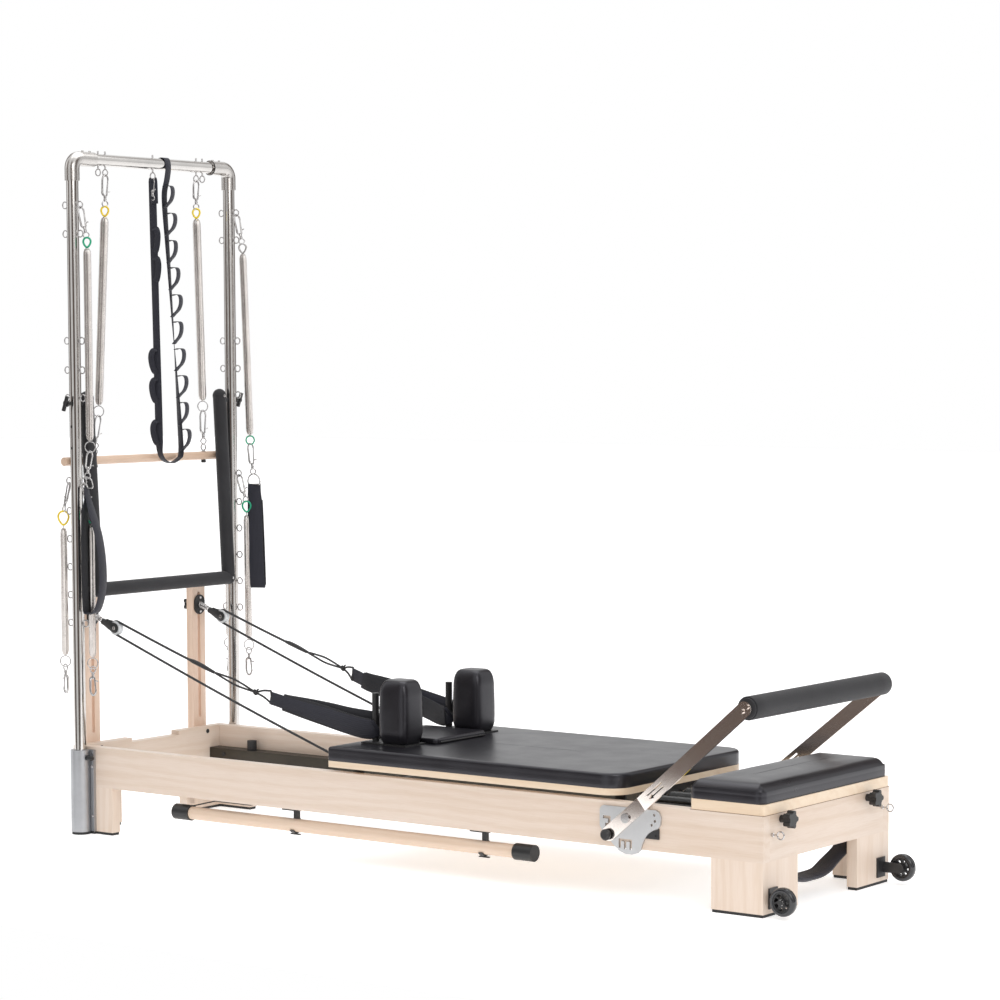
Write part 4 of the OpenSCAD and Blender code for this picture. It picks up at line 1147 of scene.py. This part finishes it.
def wheel_spoke(centre, turn):
    """One curved web between hub and rim."""
    rings = []
    for r, half_t, half_y in ((11, 3.6, 7.5), (15, 2.2, 6.0), (19, 1.9, 6.0), (23, 3.4, 7.5)):
        swing = turn + 0.018 * (r - 11)
        out = Vector((math.cos(swing), 0, math.sin(swing)))
        side = Vector((-math.sin(swing), 0, math.cos(swing)))
        corners = [(-half_t, -half_y), (half_t, -half_y), (half_t, half_y), (-half_t, half_y)]
        rings.append([centre + (out * r + side * x + ACROSS * w) * MM for x, w in corners])
    return loft(rings)


SLING_S, SLING_REACH, SLING_LOW, SLING_RISE = 2382, 230, 50, 91


def make_sling():
    """The wide carrying strap that hangs under the foot end, clamped at both sides."""
    path = []
    for i in range(-16, 17):
        t = i / 16
        path.append(at(SLING_S, SLING_REACH * t, SLING_LOW + SLING_RISE * abs(t) ** 2.2))
    cloth = [p - UP * 0.5 * MM + ALONG * 3 * math.sin(i * 0.7) * MM for i, p in enumerate(path)]
    widths = spread([50, 54, 60, 62, 60, 54, 50], len(path))
    parts = [(ribbon([p + UP * 5 * MM for p in cloth], ALONG, widths, 17.0), WEBBING)]
    for offset in (-24, 24):
        seam = [p + (ALONG * offset * 0.8 + UP * 13.7) * MM for p in cloth]
        parts.append((ribbon(seam, ALONG, 2.0, 0.8), SLEEVE))
    for m in (-1, 1):
        clamp = [at(s, m * 242, 139.5) for s in (2357, 2385, 2415)]
        parts.append((ribbon(clamp, ACROSS, 38, 4.5), POWDER))
        for s in (2370, 2400):
            parts.append(disc((4.5, 0, 2.2, 1.0), at(s, m * 250, 137.2), -UP, STEEL))
    piece("carry_sling", "frame", parts, ("sling",), 50)


HOOK_S, BAR_S, BED_SPRING_Z = 1992, 2196, 250


def make_carriage_springs():
    """Five bed springs from the carriage's hooks to the slotted bar, as one fixed piece."""
    parts = []
    for i, y in enumerate(range(-160, 161, 80)):
        a, b = at(HOOK_S, y, BED_SPRING_Z), at(BAR_S, y, BED_SPRING_Z)
        parts.append((coil(a + ALONG * 6 * MM, b - ALONG * 6 * MM, 26, 3.4, 9, 16), DARK_SPRING))
        for end, way in ((a, 1), (b, -1)):
            parts.append((hoop(end + ALONG * way * 3 * MM, 5, 3.0, UP, 8, 20, point=ALONG), SPRING))
        colour = (YELLOW, GREEN, POWDER, GREEN, YELLOW)[i]
        cuff = turned(mirrored([(13.2, -14), (13.8, -13)]), at(BAR_S - 24, y, BED_SPRING_Z), ALONG)
        parts.append((cuff, colour))
    springs = piece("carriage_spring_set", None, parts, ("carriage_springs",))
    start, end = at(HOOK_S + 8, 0, BED_SPRING_Z), at(BAR_S - 46, 0, BED_SPRING_Z)
    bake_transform(springs)


def make_trim():
    """Small fasteners and pads that the CAD leaves out, a strip of painted shade round the platform board and
    a dark ring of painted gap shade on the tower's collar.
    """
    bolts = []
    for m in (-1, 1):
        for s, z in ((86, 55), (86, 205), (12, 55), (12, 205)):
            bolts.append(disc((4.4, 0, 3.2, 1.3), at(s, m * 333.8, z), ACROSS * m, STEEL))
        for z in (155, 245):
            bolts.append(disc((5, 0, 1.6, 0.7), at(-26, m * POST_Y, z), -ALONG, STEEL))
        bolts.append(disc((7, 0, 1.6, 0.8), at(32, m * POST_Y, 248), ALONG, RUBBER))
        bolts.append(disc((7, 0, 1.6, 0.8), at(91, m * 247, 178), ACROSS * -m, RUBBER))
    piece("holder_screws", "frame", bolts, (), 40)
    screws = []
    for m in (-1, 1):
        for s, z in ((96.6, 735), (66.4, 1309)):
            screws.append(disc((4.6, 0, 2.4, 1.0), at(s, m * 295, z), ALONG, STEEL))
    piece("push_bar_screws", "push_bar", screws, (), 40)
    # A thin brown strip round the foot of the platform board: painted shade, standing for the dark shadow
    # line in the seam between the board and the frame.
    edge_s, edge_y, seam_z = 2450.4, 325.4, 263.3
    corners = ((PLATFORM_S, -edge_y), (edge_s, -edge_y), (edge_s, edge_y), (PLATFORM_S, edge_y))
    seam = [at(s, y, seam_z) for s, y in corners]
    seam_shade_strips = [ribbon([a, a.lerp(b, 0.5), b], UP, 1.2, 0.9) for a, b in zip(seam, seam[1:])]
    piece("board_seam_shade", "frame", [(shape, SEAM_SHADE) for shape in seam_shade_strips], (), 40)
    # A dark rubber ring at the end of the far elbow's collar, which also paints the shade in the gap there.
    collar = turned(mirrored([(22.1, -2.2), (23.2, -1.6)]), at(49, 258, 2021), ACROSS)
    piece("collar_gap_shade_ring", "frame", [(collar, RUBBER)])


# ---------- CAD nodes that stay ----------

def finish_cad_nodes():
    """Materials for the CAD nodes that stay, and how far their edges are softened, in mm."""
    looks = (
        (MAPLE_X, 2.0, ("side_rails",)),
        (MAPLE_Y, 2.0, ("end_boards",)),
        (MAPLE_LEG, 1.5, ("end_legs",)),
        (MAPLE_POST, 1.5, ("pulley_posts",)),
        (PLY_EDGE, 3.0, ("platform_board",)),
        (PLY_EDGE, 1.2, ("carriage_board",)),
        (BEECH_X, 0, ("pole",)),
        (BEECH_Y, 1.5, ("roll_bar",)),
        (CHROME, 0, ("tower_tubes",)),
        (CAST, 0, ("tower_elbows",)),
        (ALUMINIUM, 0.8, ("post_holders",)),
        (PLATE, 0.6, ("footbar_arms",)),
        (GEAR, 0.4, ("gear_plates",)),
        (TRACK, 0.8, ("inner_rails",)),
        (STEEL, 0, ("eye_bolts",)),
        (STEEL, 0.8, ("spring_bar",)),
        (GRIP_Y, 0, ("push_bar",)),
        (RUBBER, 1.0, ("foot_pads",)),
        (RUBBER, 1.5, ("stoppers",)),
        (POWDER, 0.6, ("wheel_brackets", "carriage_irons")),
        (POWDER, 0.8, ("axle_head", "axle_foot")),
        (POWDER, 1.2, ("shoulder_posts",)),
        (PLASTIC, 0.8, ("pole_fittings", "push_knob_near", "push_knob_far", "clamp_near", "clamp_far")),
        (PLASTIC, 1.0, ("lock_near", "lock_far")),
        (PLASTIC, 1.5, ("riser_knob_near", "riser_knob_far", "star_near", "star_far")),
    )
    for material, edge, names in looks:
        for name in names:
            dress(NODES[name], material, edge)


def dress(made, material, edge):
    made.data.materials.clear()
    made.data.materials.append(material)
    if edge:
        soften = made.modifiers.new("soft_edges", "BEVEL")
        soften.width = edge * MM
        soften.segments = 2
        soften.limit_method = "ANGLE"
        soften.angle_limit = math.radians(35)
        soften.harden_normals = True


make_camera()
make_stage()
finish_cad_nodes()
make_upholstery()
make_tower_springs()
make_hand_loops()
make_ladder_strap()
make_ropes()
make_hand_straps()
make_pulleys()
make_footbar_grip()
make_castors()
make_sling()
make_carriage_springs()
make_trim()
